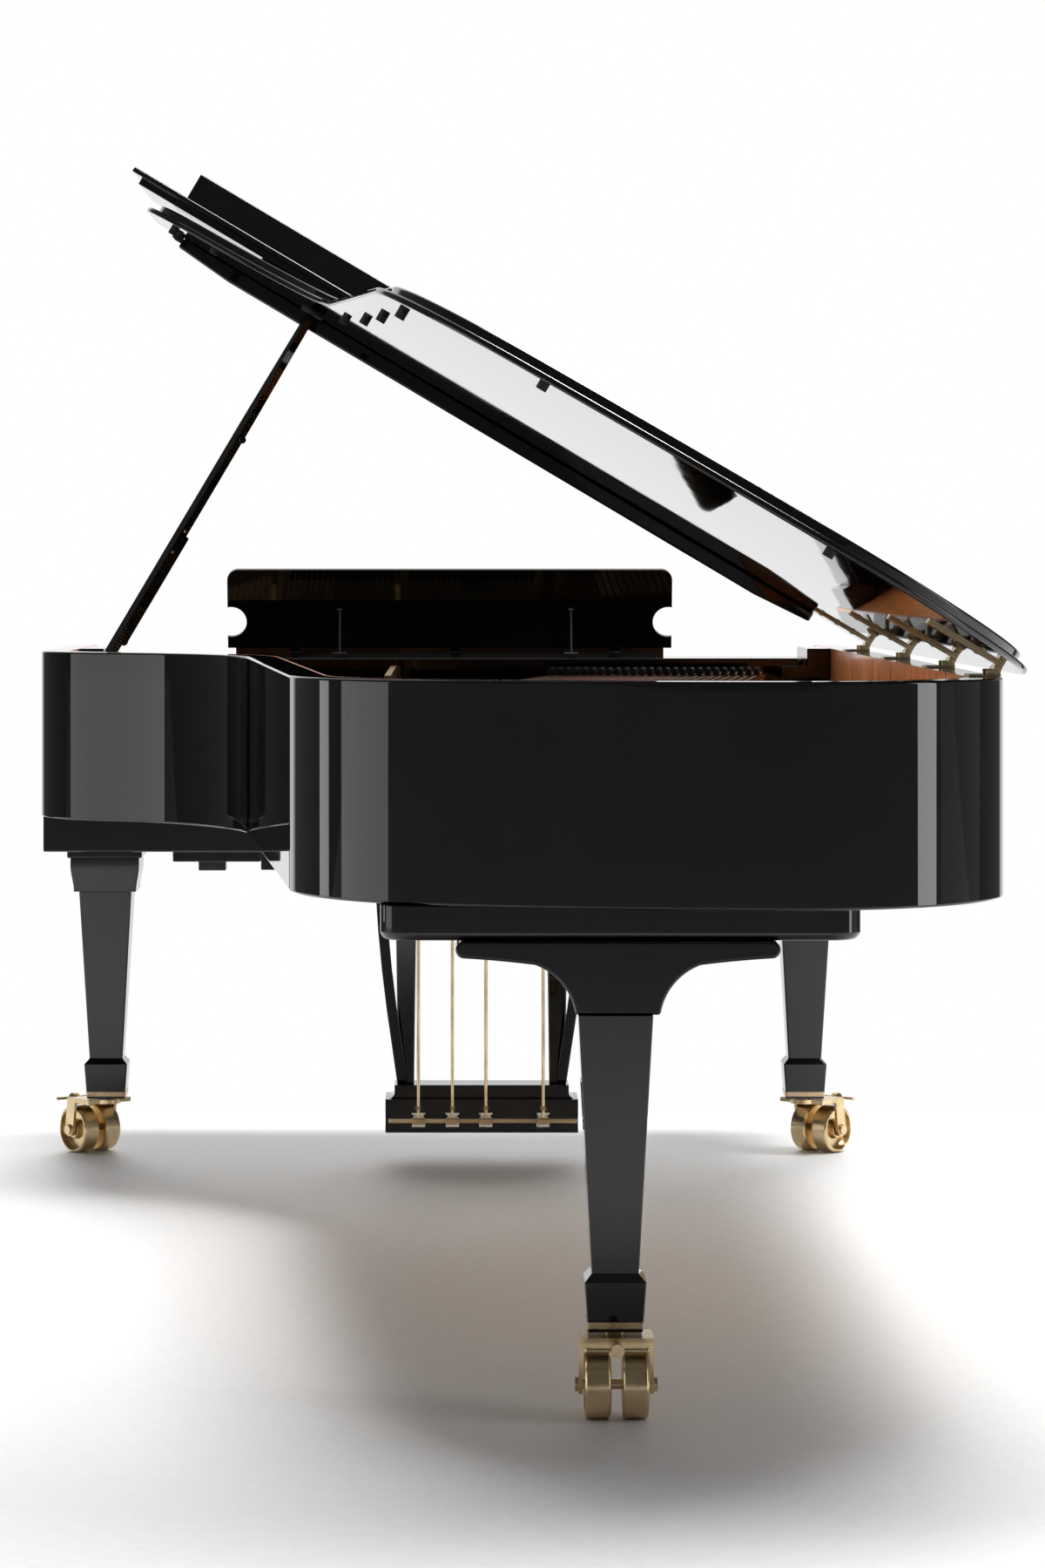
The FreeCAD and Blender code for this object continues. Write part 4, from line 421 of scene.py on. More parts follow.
    @staticmethod
    def wound_copper() -> bpy.types.Material:
        """Copper winding with its fine turns across the string.

        Returns:
            The material.
        """
        graph = Graph(Finish.COPPER.value)
        turns = graph.bands(graph.place((30.0, 480.0, 0.0)), "Y", 0.0)
        tarnish = graph.noise(graph.place((14.0, 14.0, 14.0)), 3.0, 0.5)
        copper = graph.ramp(tarnish, ((0.3, (0.36, 0.15, 0.07)), (0.7, (0.62, 0.30, 0.15))))
        graph.drive("Base Color", copper)
        graph.drive("Roughness", graph.span(turns, 0.25, 0.42))
        graph.relief(turns, 0.0002)
        graph.constant(Metallic=1.0)
        return graph.material

    @staticmethod
    def red_felt() -> bpy.types.Material:
        """Red pressed wool felt with loose fibres.

        Returns:
            The material.
        """
        graph = Graph(Finish.RED_FELT.value)
        fibre = graph.noise(graph.place((900.0, 900.0, 900.0)), 4.0, 0.7)
        red = graph.ramp(fibre, ((0.3, (0.16, 0.008, 0.01)), (0.7, (0.36, 0.025, 0.03))))
        graph.drive("Base Color", red)
        graph.drive("Roughness", graph.span(fibre, 0.85, 1.0))
        graph.relief(fibre, 0.0006)
        graph.constant(Sheen_Weight=0.4)
        return graph.material

    @staticmethod
    def damper() -> bpy.types.Material:
        """Satin black of the damper heads and the desk's struts.

        Returns:
            The material.
        """
        graph = Graph(Finish.DAMPER.value)
        grain = graph.noise(graph.place((500.0, 30.0, 500.0)), 3.0, 0.6)
        black = graph.ramp(grain, ((0.3, (0.004, 0.004, 0.004)), (0.7, (0.011, 0.0105, 0.01))))
        graph.drive("Base Color", black)
        graph.drive("Roughness", graph.span(grain, 0.55, 0.75))
        graph.relief(grain, 0.0001)
        return graph.material

    @staticmethod
    def hammer() -> bpy.types.Material:
        """Wool hammer heads on maple shanks, parted along Y just behind the heads.

        Returns:
            The material.
        """
        graph = Graph(Finish.HAMMER.value)
        fibre = graph.noise(graph.place((700.0, 700.0, 700.0)), 4.0, 0.7)
        streak = graph.noise(graph.place((400.0, 8.0, 400.0)), 3.0, 0.6)
        wool = graph.ramp(fibre, ((0.3, (0.60, 0.56, 0.47)), (0.7, (0.80, 0.77, 0.69))))
        shank = graph.ramp(streak, ((0.3, (0.46, 0.29, 0.14)), (0.7, (0.62, 0.44, 0.24))))
        head = graph.span(graph.axis("Y"), 1.0, 0.0, -0.602, -0.598)
        graph.drive("Base Color", graph.blend(head, shank, wool))
        graph.drive("Roughness", graph.span(head, 0.45, 0.95, 0.0, 1.0))
        graph.relief(fibre, 0.0003)
        return graph.material

    @staticmethod
    def ivory() -> bpy.types.Material:
        """Off-white key tops with a faint uneven tone.

        Returns:
            The material.
        """
        graph = Graph(Finish.IVORY.value)
        tone = graph.noise(graph.place((24.0, 7.0, 24.0)), 3.0, 0.5)
        white = graph.ramp(tone, ((0.25, (0.76, 0.73, 0.65)), (0.75, (0.85, 0.83, 0.77))))
        graph.drive("Base Color", white)
        graph.drive("Roughness", graph.span(tone, 0.1, 0.2))
        graph.constant(Subsurface_Weight=0.05)
        return graph.material

    @staticmethod
    def ebony() -> bpy.types.Material:
        """Black keys with a fine long grain.

        Returns:
            The material.
        """
        graph = Graph(Finish.EBONY.value)
        grain = graph.noise(graph.place((900.0, 25.0, 900.0)), 4.0, 0.6)
        black = graph.ramp(grain, ((0.3, (0.005, 0.0045, 0.004)), (0.75, (0.02, 0.017, 0.014))))
        graph.drive("Base Color", black)
        graph.drive("Roughness", graph.span(grain, 0.22, 0.4))
        graph.relief(grain, 0.00008)
        return graph.material

    @staticmethod
    def rubber() -> bpy.types.Material:
        """Matt black rubber.

        Returns:
            The material.
        """
        graph = Graph(Finish.RUBBER.value)
        dust = graph.noise(graph.place((300.0, 300.0, 300.0)), 4.0, 0.6)
        black = graph.ramp(dust, ((0.3, (0.012, 0.012, 0.012)), (0.75, (0.04, 0.039, 0.037))))
        graph.drive("Base Color", black)
        graph.drive("Roughness", graph.span(dust, 0.6, 0.85))
        graph.relief(dust, 0.0002)
        return graph.material


@dataclass(frozen=True)
class Soften:
    """How a CAD node is dressed.

    Attributes:
        finish: Finish of the node.
        bevel: Width of the softened edges in metres; zero leaves the edges sharp.
        curved: The node has bent faces, whose facets are shaded as one surface.
    """

    finish: Finish
    bevel: float = 0.0
    curved: bool = False


class Wardrobe:
    """Gives every CAD node its finish, rounds the sharp edges and smooths the bent panels."""

    LACQUERED: Dict[str, float] = {
        "keybed": 0.003, "keyslip": 0.0015, "fallboard": 0.002, "stretcher": 0.002,
        "music_shelf": 0.0015, "music_desk": 0.002, "lid_batten": 0.004, "lid_flap": 0.0015,
        "flap_lip": 0.002, "prop": 0.002, "short_prop": 0.0015, "leg_treble": 0.0015,
        "leg_bass": 0.0015, "leg_tail": 0.0015, "leg_plates": 0.003, "tail_base": 0.002,
        "tail_bracket": 0.004, "lyre_box": 0.002, "lyre_posts": 0.002, "trapwork": 0.002,
    }
    PLAIN: Dict[Finish, Tuple[str, ...]] = {
        Finish.MAPLE: ("inner_rim", "case_braces", "bridges", "pinblock", "action_frame"),
        Finish.SPRUCE: ("soundboard",),
        Finish.GOLD: ("iron_plate",),
        Finish.STEEL: ("tuning_pins", "treble_strings"),
        Finish.COPPER: ("bass_strings",),
        Finish.RUBBER: ("lid_fittings",),
        Finish.BRONZE: ("leg_bands",),
        Finish.HAMMER: ("hammers",),
    }
    CURVED: Dict[str, Finish] = {
        "rim": Finish.LACQUER, "lid": Finish.LACQUER, "rim_veneer": Finish.VENEER,
    }
    SOFT: Dict[Finish, Dict[str, float]] = {
        Finish.IVORY: {"white_keys": 0.0011},
        Finish.EBONY: {"black_keys": 0.0016},
        Finish.DAMPER: {"dampers": 0.001, "desk_struts": 0.0004},
        Finish.BRASS: {"lid_hinge_leaves": 0.0008, "lid_hinge_posts": 0.0008, "prop_bracket": 0.001},
    }
    BRASS_PREFIXES = ("caster_", "pedal_")
    BRASS_BEVEL = 0.0008
    SHARP = math.radians(32.0)
    COPLANAR = math.radians(0.05)
    NEARLY_FLAT = math.radians(0.5)
    MERGE = 1e-5
    BEVEL_SEGMENTS = 3
    PANEL_WEIGHT = 50
    EDGE_WEIGHT = 100

    def __init__(self, library: MaterialLibrary) -> None:
        """Plan the dressing.

        Args:
            library: Finishes.
        """
        self.library = library
        self.plan: Dict[str, Soften] = {}
        for name, bevel in self.LACQUERED.items():
            self.plan[name] = Soften(Finish.LACQUER, bevel)
        for finish, names in self.PLAIN.items():
            for name in names:
                self.plan[name] = Soften(finish)
        for name, finish in self.CURVED.items():
            self.plan[name] = Soften(finish, curved=True)
        for finish, bevels in self.SOFT.items():
            for name, bevel in bevels.items():
                self.plan[name] = Soften(finish, bevel)
        for name in frame["nodes"]:
            if name.startswith(self.BRASS_PREFIXES):
                self.plan[name] = Soften(Finish.BRASS, self.BRASS_BEVEL)

    def dress(self) -> None:
        """Dress every node."""
        record = frame["record"]
        bodies = {name: body for body, names in record["behaviour"]["bodies"].items() for name in names}
        for name, node in frame["nodes"].items():
            look = self.plan[name]
            if look.bevel or look.curved:
                skin = self.skin(name, node, look)
                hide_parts(name)
                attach(skin, bodies[name])
            else:
                self.paint(node, look.finish)
            log.info("%s: %s", name, look.finish.value)

    def paint(self, target: bpy.types.Object, finish: Finish) -> None:
        """Give an object one finish.

        Args:
            target: Mesh object.
            finish: Finish to use.
        """
        target.data.materials.clear()
        target.data.materials.append(self.library[finish])

    def skin(self, name: str, node: bpy.types.Object, look: Soften) -> bpy.types.Object:
        """Copy a node's surface, with rounded edges or with the shading of a bent panel.

        Args:
            name: Node name.
            node: CAD object.
            look: Finish and way of softening.

        Returns:
            The copy.
        """
        shell = bmesh.new()
        shell.from_mesh(node.data)
        bmesh.ops.remove_doubles(shell, verts=shell.verts, dist=self.MERGE)
        flat = self.COPLANAR if look.curved else self.NEARLY_FLAT
        bmesh.ops.dissolve_limit(shell, angle_limit=flat, verts=shell.verts, edges=shell.edges)
        mesh = bpy.data.meshes.new(name + "_skin")
        shell.to_mesh(mesh)
        shell.free()
        for stale in ("custom_normal", "sharp_edge", "sharp_face"):
            if stale in mesh.attributes:
                mesh.attributes.remove(mesh.attributes[stale])
        piece = bpy.data.objects.new(name + "_skin", mesh)
        bpy.context.scene.collection.objects.link(piece)
        self.paint(piece, look.finish)
        mesh.shade_smooth()
        if look.curved:
            mesh.set_sharp_from_angle(angle=self.SHARP)
        else:
            bevel = piece.modifiers.new("edges", "BEVEL")
            bevel.width = look.bevel
            bevel.segments = self.BEVEL_SEGMENTS
            bevel.limit_method = "ANGLE"
            bevel.angle_limit = self.SHARP
        weighted = piece.modifiers.new("normals", "WEIGHTED_NORMAL")
        weighted.mode = "FACE_AREA_WITH_ANGLE"
        weighted.weight = self.PANEL_WEIGHT if look.curved else self.EDGE_WEIGHT
        weighted.keep_sharp = True
        return piece


@dataclass(frozen=True)
class Surface:
    """Points with quads and flat caps.

    Attributes:
        points: Array of shape (n, 3).
        quads: Index array of shape (k, 4).
        caps: Index array of shape (j, m) of many-sided end faces.
    """

    points: np.ndarray
    quads: np.ndarray
    caps: np.ndarray

    @staticmethod
    def rings(stack: np.ndarray) -> "Surface":
        """Surface through a stack of closed rings, with a cap at either end.

        Args:
            stack: Array of shape (levels, sides, 3).

        Returns:
            The surface.
        """
        levels, sides = stack.shape[:2]
        row, column = np.meshgrid(np.arange(levels - 1), np.arange(sides), indexing="ij")
        after = (column + 1) % sides
        low = row * sides
        high = low + sides
        corners = (low + column, low + after, high + after, high + column)
        quads = np.stack([corner.ravel() for corner in corners], axis=1)
        last = (levels - 1) * sides
        ends = np.stack([np.arange(sides)[::-1], last + np.arange(sides)])
        return Surface(stack.reshape(-1, 3), quads, ends)

    @staticmethod
    def lathe(profile: Profile, sides: int = 20) -> "Surface":
        """Turned shape about Z.

        Args:
            profile: Radius and height pairs, from the bottom to the top.
            sides: Number of sides.

        Returns:
            The surface.
        """
        radius, height = np.array(profile, dtype=float).T
        angle = np.linspace(0.0, 2.0 * math.pi, sides, endpoint=False)
        ring = np.stack([np.cos(angle), np.sin(angle), np.zeros_like(angle)], axis=1)
        stack = radius[:, None, None] * ring[None] + height[:, None, None] * np.array([0.0, 0.0, 1.0])
        return Surface.rings(stack)

    @staticmethod
    def slab(size: Vec3, corner: float, edge: float, steps: int = 5) -> "Surface":
        """Plate with rounded corners and a soft upper edge, standing on Z = 0.

        Args:
            size: Width, depth and height.
            corner: Radius of the upright corners.
            edge: Radius of the upper edge.
            steps: Points on each corner.

        Returns:
            The surface.
        """
        lift = np.linspace(0.0, math.pi / 2.0, steps)
        inset = np.concatenate([[0.0], edge * (1.0 - np.cos(lift))])
        level = np.concatenate([[0.0], size[2] - edge + edge * np.sin(lift)])
        angle = np.concatenate([lift + turn * math.pi / 2.0 for turn in range(4)])
        sign = np.repeat(np.array([[1, 1], [-1, 1], [-1, -1], [1, -1]], dtype=float), steps, axis=0)
        round_off = np.stack([np.cos(angle), np.sin(angle)], axis=1)
        flat = sign * (np.array(size[:2]) / 2.0 - corner)
        plan = flat[None] + (corner - np.minimum(inset, 0.9 * corner))[:, None, None] * round_off[None]
        height = np.repeat(level[:, None, None], len(angle), axis=1)
        return Surface.rings(np.concatenate([plan, height], axis=2))

    @staticmethod
    def tube(path: np.ndarray, radius: float, sides: int = 6) -> "Surface":
        """Round wire along a path that is never upright.

        Args:
            path: Array of shape (n, 3).
            radius: Radius of the wire.
            sides: Number of sides.

        Returns:
            The surface.
        """
        along = np.gradient(path, axis=0)
        along /= np.linalg.norm(along, axis=1, keepdims=True)
        across = np.cross(along, np.array([0.0, 0.0, 1.0]))
        across /= np.linalg.norm(across, axis=1, keepdims=True)
        up = np.cross(across, along)
        angle = np.linspace(0.0, 2.0 * math.pi, sides, endpoint=False)[None, :, None]
        stack = path[:, None] + radius * (np.cos(angle) * across[:, None] + np.sin(angle) * up[:, None])
        return Surface.rings(stack)

    def turned(self, direction: Sequence[float]) -> "Surface":
        """Turn the Z axis of the surface to a direction.

        Args:
            direction: New direction of Z.

        Returns:
            The turned surface.
        """
        up = np.array(direction, dtype=float)
        up /= np.linalg.norm(up)
        helper = np.array([0.0, 1.0, 0.0]) if abs(up[1]) < 0.9 else np.array([0.0, 0.0, 1.0])
        side = np.cross(helper, up)
        side /= np.linalg.norm(side)
        basis = np.stack([side, np.cross(up, side), up])
        return Surface(self.points @ basis, self.quads, self.caps)

    def stamped(self, places: np.ndarray) -> "Surface":
        """Copies of the surface at many places.

        Args:
            places: Array of shape (n, 3).

        Returns:
            One surface with all the copies.
        """
        places = np.asarray(places, dtype=float).reshape(-1, 3)
        step = (np.arange(len(places)) * len(self.points))[:, None, None]
        points = (places[:, None] + self.points[None]).reshape(-1, 3)
        quads = (self.quads[None] + step).reshape(-1, 4)
        caps = (self.caps[None] + step).reshape(-1, self.caps.shape[1])
        return Surface(points, quads, caps)

    @staticmethod
    def joined(parts: Sequence["Surface"]) -> "Surface":
        """One surface from several with caps of the same size.

        Args:
            parts: Surfaces.

        Returns:
            The joined surface.
        """
        starts = np.cumsum([0] + [len(part.points) for part in parts[:-1]])
        return Surface(
            np.concatenate([part.points for part in parts]),
            np.concatenate([part.quads + start for part, start in zip(parts, starts)]),
            np.concatenate([part.caps + start for part, start in zip(parts, starts)]))


class Workshop:
    """Makes pieces from surfaces and lets them ride on their bodies."""

    SLOTS: Dict[Finish, str] = {
        Finish.BLACKENED: "brass", Finish.RED_FELT: "hammer_felt",
    }
    SHARP = math.radians(40.0)

    def __init__(self, library: MaterialLibrary) -> None:
        """Keep the finishes.

        Args:
            library: Finishes.
        """
        self.library = library

    def make(self, name: str, surface: Surface, finish: Finish, body: str) -> None:
        """Make one piece from a surface.

        Args:
            name: Piece name.
            surface: Its surface in the frame of the model.
            finish: Its finish.
            body: Body that it rides on.
        """
        mesh = bpy.data.meshes.new(name)
        mesh.from_pydata(surface.points.tolist(), [], surface.quads.tolist() + surface.caps.tolist())
        mesh.validate()
        mesh.shade_smooth()
        mesh.set_sharp_from_angle(angle=self.SHARP)
        self.mount(mesh, finish, body)

    def mount(self, mesh: bpy.types.Mesh, finish: Finish, body: str) -> None:
        """Turn a mesh into a piece of the same name.

        Args:
            mesh: Mesh in the frame of the model.
            finish: Its finish.
            body: Body that it rides on.
        """
        piece = bpy.data.objects.new(mesh.name, mesh)
        bpy.context.scene.collection.objects.link(piece)
        mesh.materials.clear()
        mesh.materials.append(self.library[finish])
        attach(piece, body)
        log.info("%s: %d points on %s", mesh.name, len(mesh.vertices), body)


def mesh_points(name: str) -> np.ndarray:
    """Vertices of a CAD node.

    Args:
        name: Node name.

    Returns:
        Array of shape (n, 3).
    """
    mesh = frame["nodes"][name].data
    flat = np.empty(3 * len(mesh.vertices))
    mesh.vertices.foreach_get("co", flat)
    return flat.reshape(-1, 3)


def clusters(points: np.ndarray, gap: float) -> np.ndarray:
    """Middles of groups of points that are parted along X.

    Args:
        points: Array of shape (n, 3).
        gap: Least step in X between groups.

    Returns:
        Array of shape (groups, 3).
    """
    ordered = points[np.argsort(points[:, 0])]
    cuts = np.nonzero(np.diff(ordered[:, 0]) > gap)[0] + 1
    groups = np.split(ordered, cuts)
    return np.array([(group.min(axis=0) + group.max(axis=0)) / 2.0 for group in groups])


@dataclass
class Stringing:
    """Fine parts of the strung plate.

    Attributes:
        unison: Distance between the strings of one note.
        front: Y of the agraffe line.
        window: Depth behind the agraffe line in which a string's front end lies.
        string_gap: Least step in X between the front ends of two notes.
        stud: Radius and height pairs of an agraffe, about the string.
        coil_turns: Turns of wire on a tuning pin.
        coil_drop: Distance of the coil below the pin's top.
        coil_pitch: Rise of one turn, in wire radii.
        pin_radius: Radius of a tuning pin.
        pin_top: Depth of the layer that holds the pins' tops.
        pin_row: Distance between the rows of pins.
        pin_gap: Least step in X between two pins of a row.
        wire: Radius of the plain wire.
        wire_sides: Sides of the wire.
        felt: Width, depth and height of the felt strip below the wire leads.
        felt_radii: Radii of the strip's corners and upper edge.
        felt_place: Distance of the strip before the agraffe line, and below the strings.
    """

    unison: float = 0.0024
    front: float = -0.545
    window: float = 0.004
    string_gap: float = 0.003
    stud: Profile = ((0.0042, -0.010), (0.0042, -0.003), (0.0030, -0.002), (0.0030, 0.003),
                     (0.0018, 0.0042), (0.0002, 0.0045))
    coil_turns: int = 3
    coil_drop: float = 0.020
    coil_pitch: float = 2.1
    pin_radius: float = 0.0035
    pin_top: float = 0.001
    pin_row: float = 0.038
    pin_gap: float = 0.009
    wire: float = 0.0006
    wire_sides: int = 5
    felt: Vec3 = (1.20, 0.016, 0.005)
    felt_radii: Tuple[float, float] = (0.004, 0.002)
    felt_place: Tuple[float, float] = (0.026, 0.0165)

    def build(self, shop: Workshop) -> None:
        """Make the fine parts.

        Args:
            shop: Workshop.
        """
        treble = self.front_ends("treble_strings")
        fronts = np.concatenate([treble, self.front_ends("bass_strings")])
        tops = self.pin_tops()
        coils = tops - np.array([0.0, 0.0, self.coil_drop])
        self.unisons(shop)
        shop.make("agraffes", Surface.lathe(self.stud, 12).stamped(fronts), Finish.BRASS, "case")
        shop.make("pin_coils", self.coil().stamped(coils), Finish.STEEL, "case")
        self.leads(shop, fronts, coils)
        forward, below = self.felt_place
        middle = (fronts[:, 0].min() + fronts[:, 0].max()) / 2.0
        place = [middle, self.front + forward, treble[:, 2].min() - below]
        strip = Surface.slab(self.felt, *self.felt_radii).stamped([place])
        shop.make("stringing_felt", strip, Finish.RED_FELT, "case")

    def front_ends(self, node: str) -> np.ndarray:
        """Middles of the front ends of a node's strings.

        Args:
            node: Node of the strings.

        Returns:
            Array of shape (strings, 3).
        """
        points = mesh_points(node)
        return clusters(points[points[:, 1] > self.front - self.window], self.string_gap)

    def pin_tops(self) -> np.ndarray:
        """Middles of the tuning pins' tops.

        Returns:
            Array of shape (pins, 3).
        """
        points = mesh_points("tuning_pins")
        tops = points[points[:, 2] > points[:, 2].max() - self.pin_top]
        rows = np.round(tops[:, 1] / self.pin_row).astype(int)
        return np.concatenate([clusters(tops[rows == row], self.pin_gap) for row in np.unique(rows)])

    def unisons(self, shop: Workshop) -> None:
        """Add the second and the third string of each plain note.

        Args:
            shop: Workshop.
        """
        shell = bmesh.new()
        shell.from_mesh(frame["nodes"]["treble_strings"].data)
        bmesh.ops.translate(shell, verts=shell.verts[:], vec=(self.unison, 0.0, 0.0))
        strings = shell.verts[:] + shell.edges[:] + shell.faces[:]
        copy = bmesh.ops.duplicate(shell, geom=strings)["geom"]
        moved = [item for item in copy if isinstance(item, bmesh.types.BMVert)]
        bmesh.ops.translate(shell, verts=moved, vec=(-2.0 * self.unison, 0.0, 0.0))
        mesh = bpy.data.meshes.new("unison_strings")
        shell.to_mesh(mesh)
        shell.free()
        shop.mount(mesh, Finish.STEEL, "case")

    def coil(self) -> Surface:
        """Wire coil round one pin.

        Returns:
            The surface, about Z.
        """
        angle = np.linspace(0.0, 2.0 * math.pi * self.coil_turns, 10 * self.coil_turns + 1)
        radius = self.pin_radius + self.wire
        rise = angle / (2.0 * math.pi) * self.wire * self.coil_pitch
        path = np.stack([radius * np.cos(angle), radius * np.sin(angle), rise], axis=1)
        return Surface.tube(path, self.wire, self.wire_sides)

    def leads(self, shop: Workshop, fronts: np.ndarray, coils: np.ndarray) -> None:
        """Wire from each agraffe to the coil that is nearest along X.

        Args:
            shop: Workshop.
            fronts: Front ends of the strings.
            coils: Lower ends of the pins' coils.
        """
        nearest = np.abs(fronts[:, None, 0] - coils[None, :, 0]).argmin(axis=1)
        ends = coils[nearest] + np.array([self.pin_radius, 0.0, 0.0])
        share = np.linspace(0.0, 1.0, 3)[:, None]
        paths = [start + (end - start) * share for start, end in zip(fronts, ends)]
        wires = [Surface.tube(path, self.wire, self.wire_sides) for path in paths]
        shop.make("string_leads", Surface.joined(wires), Finish.STEEL, "case")


@dataclass
class Brasswork:
    """Small fittings of the pedal rods, pedal box, prop and lid.

    Attributes:
        rod_x: Pedal rods along X.
        rod_y: Y of the pedal rods.
        nut_levels: Heights of the nuts on the rods.
        nut: Radius and height pairs of a nut.
        washer: Radius and height pairs of the washer above a nut.
        stripe_start: Treble end of the stripe on the pedal box.
        stripe_size: Length, height and thickness of the stripe.
        stripe_radii: Radii of the stripe's corners and outer edge.
        stripe_place: Y and Z of the stripe.
        prop_foot: Pivot of the prop.
        prop_half: Half width of the prop.
        prop_screw: Radius and height pairs of a screw head on the prop.
        prop_screw_reach: Distances of the screw heads from the pivot.
        knob: Radius and height pairs of the prop's knob.
        knob_reach: Distance of the knob from the pivot.
        stow: Angle of the stowed prop, in degrees.
        lean: Lid angle, in degrees.
        hinge_line: X and Z of the lid's hinge line.
        hinge_y: Stations of the lid hinges.
        leaf_rise: Height of a leaf's lower face above the hinge line, square to the lid.
        leaf_screw: Radius and height pairs of a screw head on a leaf.
        screws: Distances of the leaf screws from the hinge line.
        screw_side: Distance of the leaf screws from the middle of the leaf.
    """

    rod_x: Tuple[float, ...] = (-0.073, -0.006, 0.060, 0.173)
    rod_y: float = -0.406
    nut_levels: Tuple[float, ...] = (0.106, 0.528)
    nut: Profile = ((0.0034, 0.0), (0.0062, 0.0), (0.0068, 0.0008), (0.0068, 0.0072),
                    (0.0062, 0.008), (0.0034, 0.008))
    washer: Profile = ((0.0034, 0.008), (0.0085, 0.008), (0.0092, 0.0095), (0.0092, 0.0125),
                       (0.0085, 0.014), (0.0034, 0.014))
    stripe_start: float = -0.1325
    stripe_size: Vec3 = (0.3725, 0.009, 0.0012)
    stripe_radii: Tuple[float, float] = (0.001, 0.0006)
    stripe_place: Tuple[float, float] = (-0.390, 0.0835)
    prop_foot: Vec3 = (-0.686, -0.620, 0.975)
    prop_half: float = 0.0105
    prop_screw: Profile = ((0.0038, -0.0004), (0.0038, 0.0006), (0.0030, 0.0016), (0.0002, 0.0022))
    prop_screw_reach: Tuple[float, ...] = (0.272, 0.318)
    knob: Profile = ((0.0036, -0.0004), (0.0036, 0.003), (0.0072, 0.005), (0.0078, 0.009),
                     (0.0062, 0.0125), (0.0002, 0.0138))
    knob_reach: float = 0.525
    stow: float = 36.0
    lean: float = 30.7
    hinge_line: Tuple[float, float] = (0.780, 1.0285)
    hinge_y: Tuple[float, ...] = (-0.730, -1.475, -2.150, -2.730)
    leaf_rise: float = 0.006
    leaf_screw: Profile = ((0.0036, -0.0004), (0.0036, 0.0004), (0.0026, 0.0013), (0.0002, 0.0016))
    screws: Tuple[float, ...] = (0.036, 0.070, 0.104)
    screw_side: float = 0.009

    def build(self, shop: Workshop) -> None:
        """Make all the fittings.

        Args:
            shop: Workshop.
        """
        self.nuts(shop)
        self.stripe(shop)
        self.prop_studs(shop)
        self.leaf_screws(shop)

    def nuts(self, shop: Workshop) -> None:
        """Hexagon nuts with felt washers on the pedal rods.

        Args:
            shop: Workshop.
        """
        nut = Surface.lathe(self.nut, 6)
        washer = Surface.lathe(self.washer)
        for number, x in enumerate(self.rod_x, start=1):
            places = np.array([[x, self.rod_y, level] for level in self.nut_levels])
            body = "pedal_rod_%d" % number
            shop.make("rod_nuts_%d" % number, nut.stamped(places), Finish.BRASS, body)
            shop.make("rod_washers_%d" % number, washer.stamped(places[-1:]), Finish.RED_FELT, body)

    def stripe(self, shop: Workshop) -> None:
        """Thin stripe along the face of the pedal box.

        Args:
            shop: Workshop.
        """
        strip = Surface.slab(self.stripe_size, *self.stripe_radii).turned((0.0, -1.0, 0.0))
        middle = self.stripe_start + self.stripe_size[0] / 2.0
        place = [middle, *self.stripe_place]
        shop.make("lyre_stripe", strip.stamped([place]), Finish.BRASS, "case")

    def prop_studs(self, shop: Workshop) -> None:
        """Knob and two screw heads on the side of the prop that faces the tail.

        Args:
            shop: Workshop.
        """
        lean = math.radians(self.lean)
        stow = math.radians(self.stow)
        along = np.array([math.sin(lean), 0.0, math.cos(lean)])
        axis = np.cross(along, [math.sin(stow), -math.cos(stow), 0.0])
        axis /= np.linalg.norm(axis)
        outward = -np.cross(along, axis)
        face = np.array(self.prop_foot) + outward * self.prop_half
        heads = np.array([face + along * reach for reach in self.prop_screw_reach])
        screw = Surface.lathe(self.prop_screw, 16).turned(outward)
        shop.make("prop_screws", screw.stamped(heads), Finish.BRASS, "prop")
        knob = Surface.lathe(self.knob).turned(outward)
        shop.make("prop_knob", knob.stamped([face + along * self.knob_reach]), Finish.BLACKENED, "prop")

    def leaf_screws(self, shop: Workshop) -> None:
        """Screw heads below the lid's hinge leaves.

        Args:
            shop: Workshop.
        """
        lean = math.radians(self.lean)
        along = np.array([-math.cos(lean), 0.0, math.sin(lean)])
        down = np.array([-math.sin(lean), 0.0, -math.cos(lean)])
        origin = np.array([self.hinge_line[0], 0.0, self.hinge_line[1]])
        face = origin - down * self.leaf_rise
        sides = (-self.screw_side, self.screw_side)
        spots = [(y + side, reach) for y in self.hinge_y for reach in self.screws for side in sides]
        places = [face + along * reach + np.array([0.0, y, 0.0]) for y, reach in spots]
        head = Surface.lathe(self.leaf_screw, 14).turned(down)
        shop.make("leaf_screws", head.stamped(np.array(places)), Finish.BRASS, "lid")


@dataclass(frozen=True)
class Panel:
    """One soft light panel.

    Attributes:
        name: Light name.
        place: Centre in metres.
        aim: Point that it faces.
        size: Width and height in metres.
        power: Power in watts.
        mirrored: Polished surfaces show the panel.
        spread: Beam angle in degrees.
    """

    name: str
    place: Vec3
    aim: Vec3
    size: Tuple[float, float]
    power: float
    mirrored: bool = True
    spread: float = 180.0


@dataclass(frozen=True)
class CameraPlan:
    """Camera of the photograph, in pixels of its 1200 by 1800 frame.

    Attributes:
        place: Position in metres.
        focal: Focal length in pixels.
        centre: Pixel on the optical axis.
        frame: Width and height of the frame in pixels.
    """

    place: Vec3 = (0.0, -9.08, 1.1705)
    focal: float = 5050.0
    centre: Tuple[float, float] = (523.0, 655.0)
    frame: Tuple[float, float] = (1200.0, 1800.0)


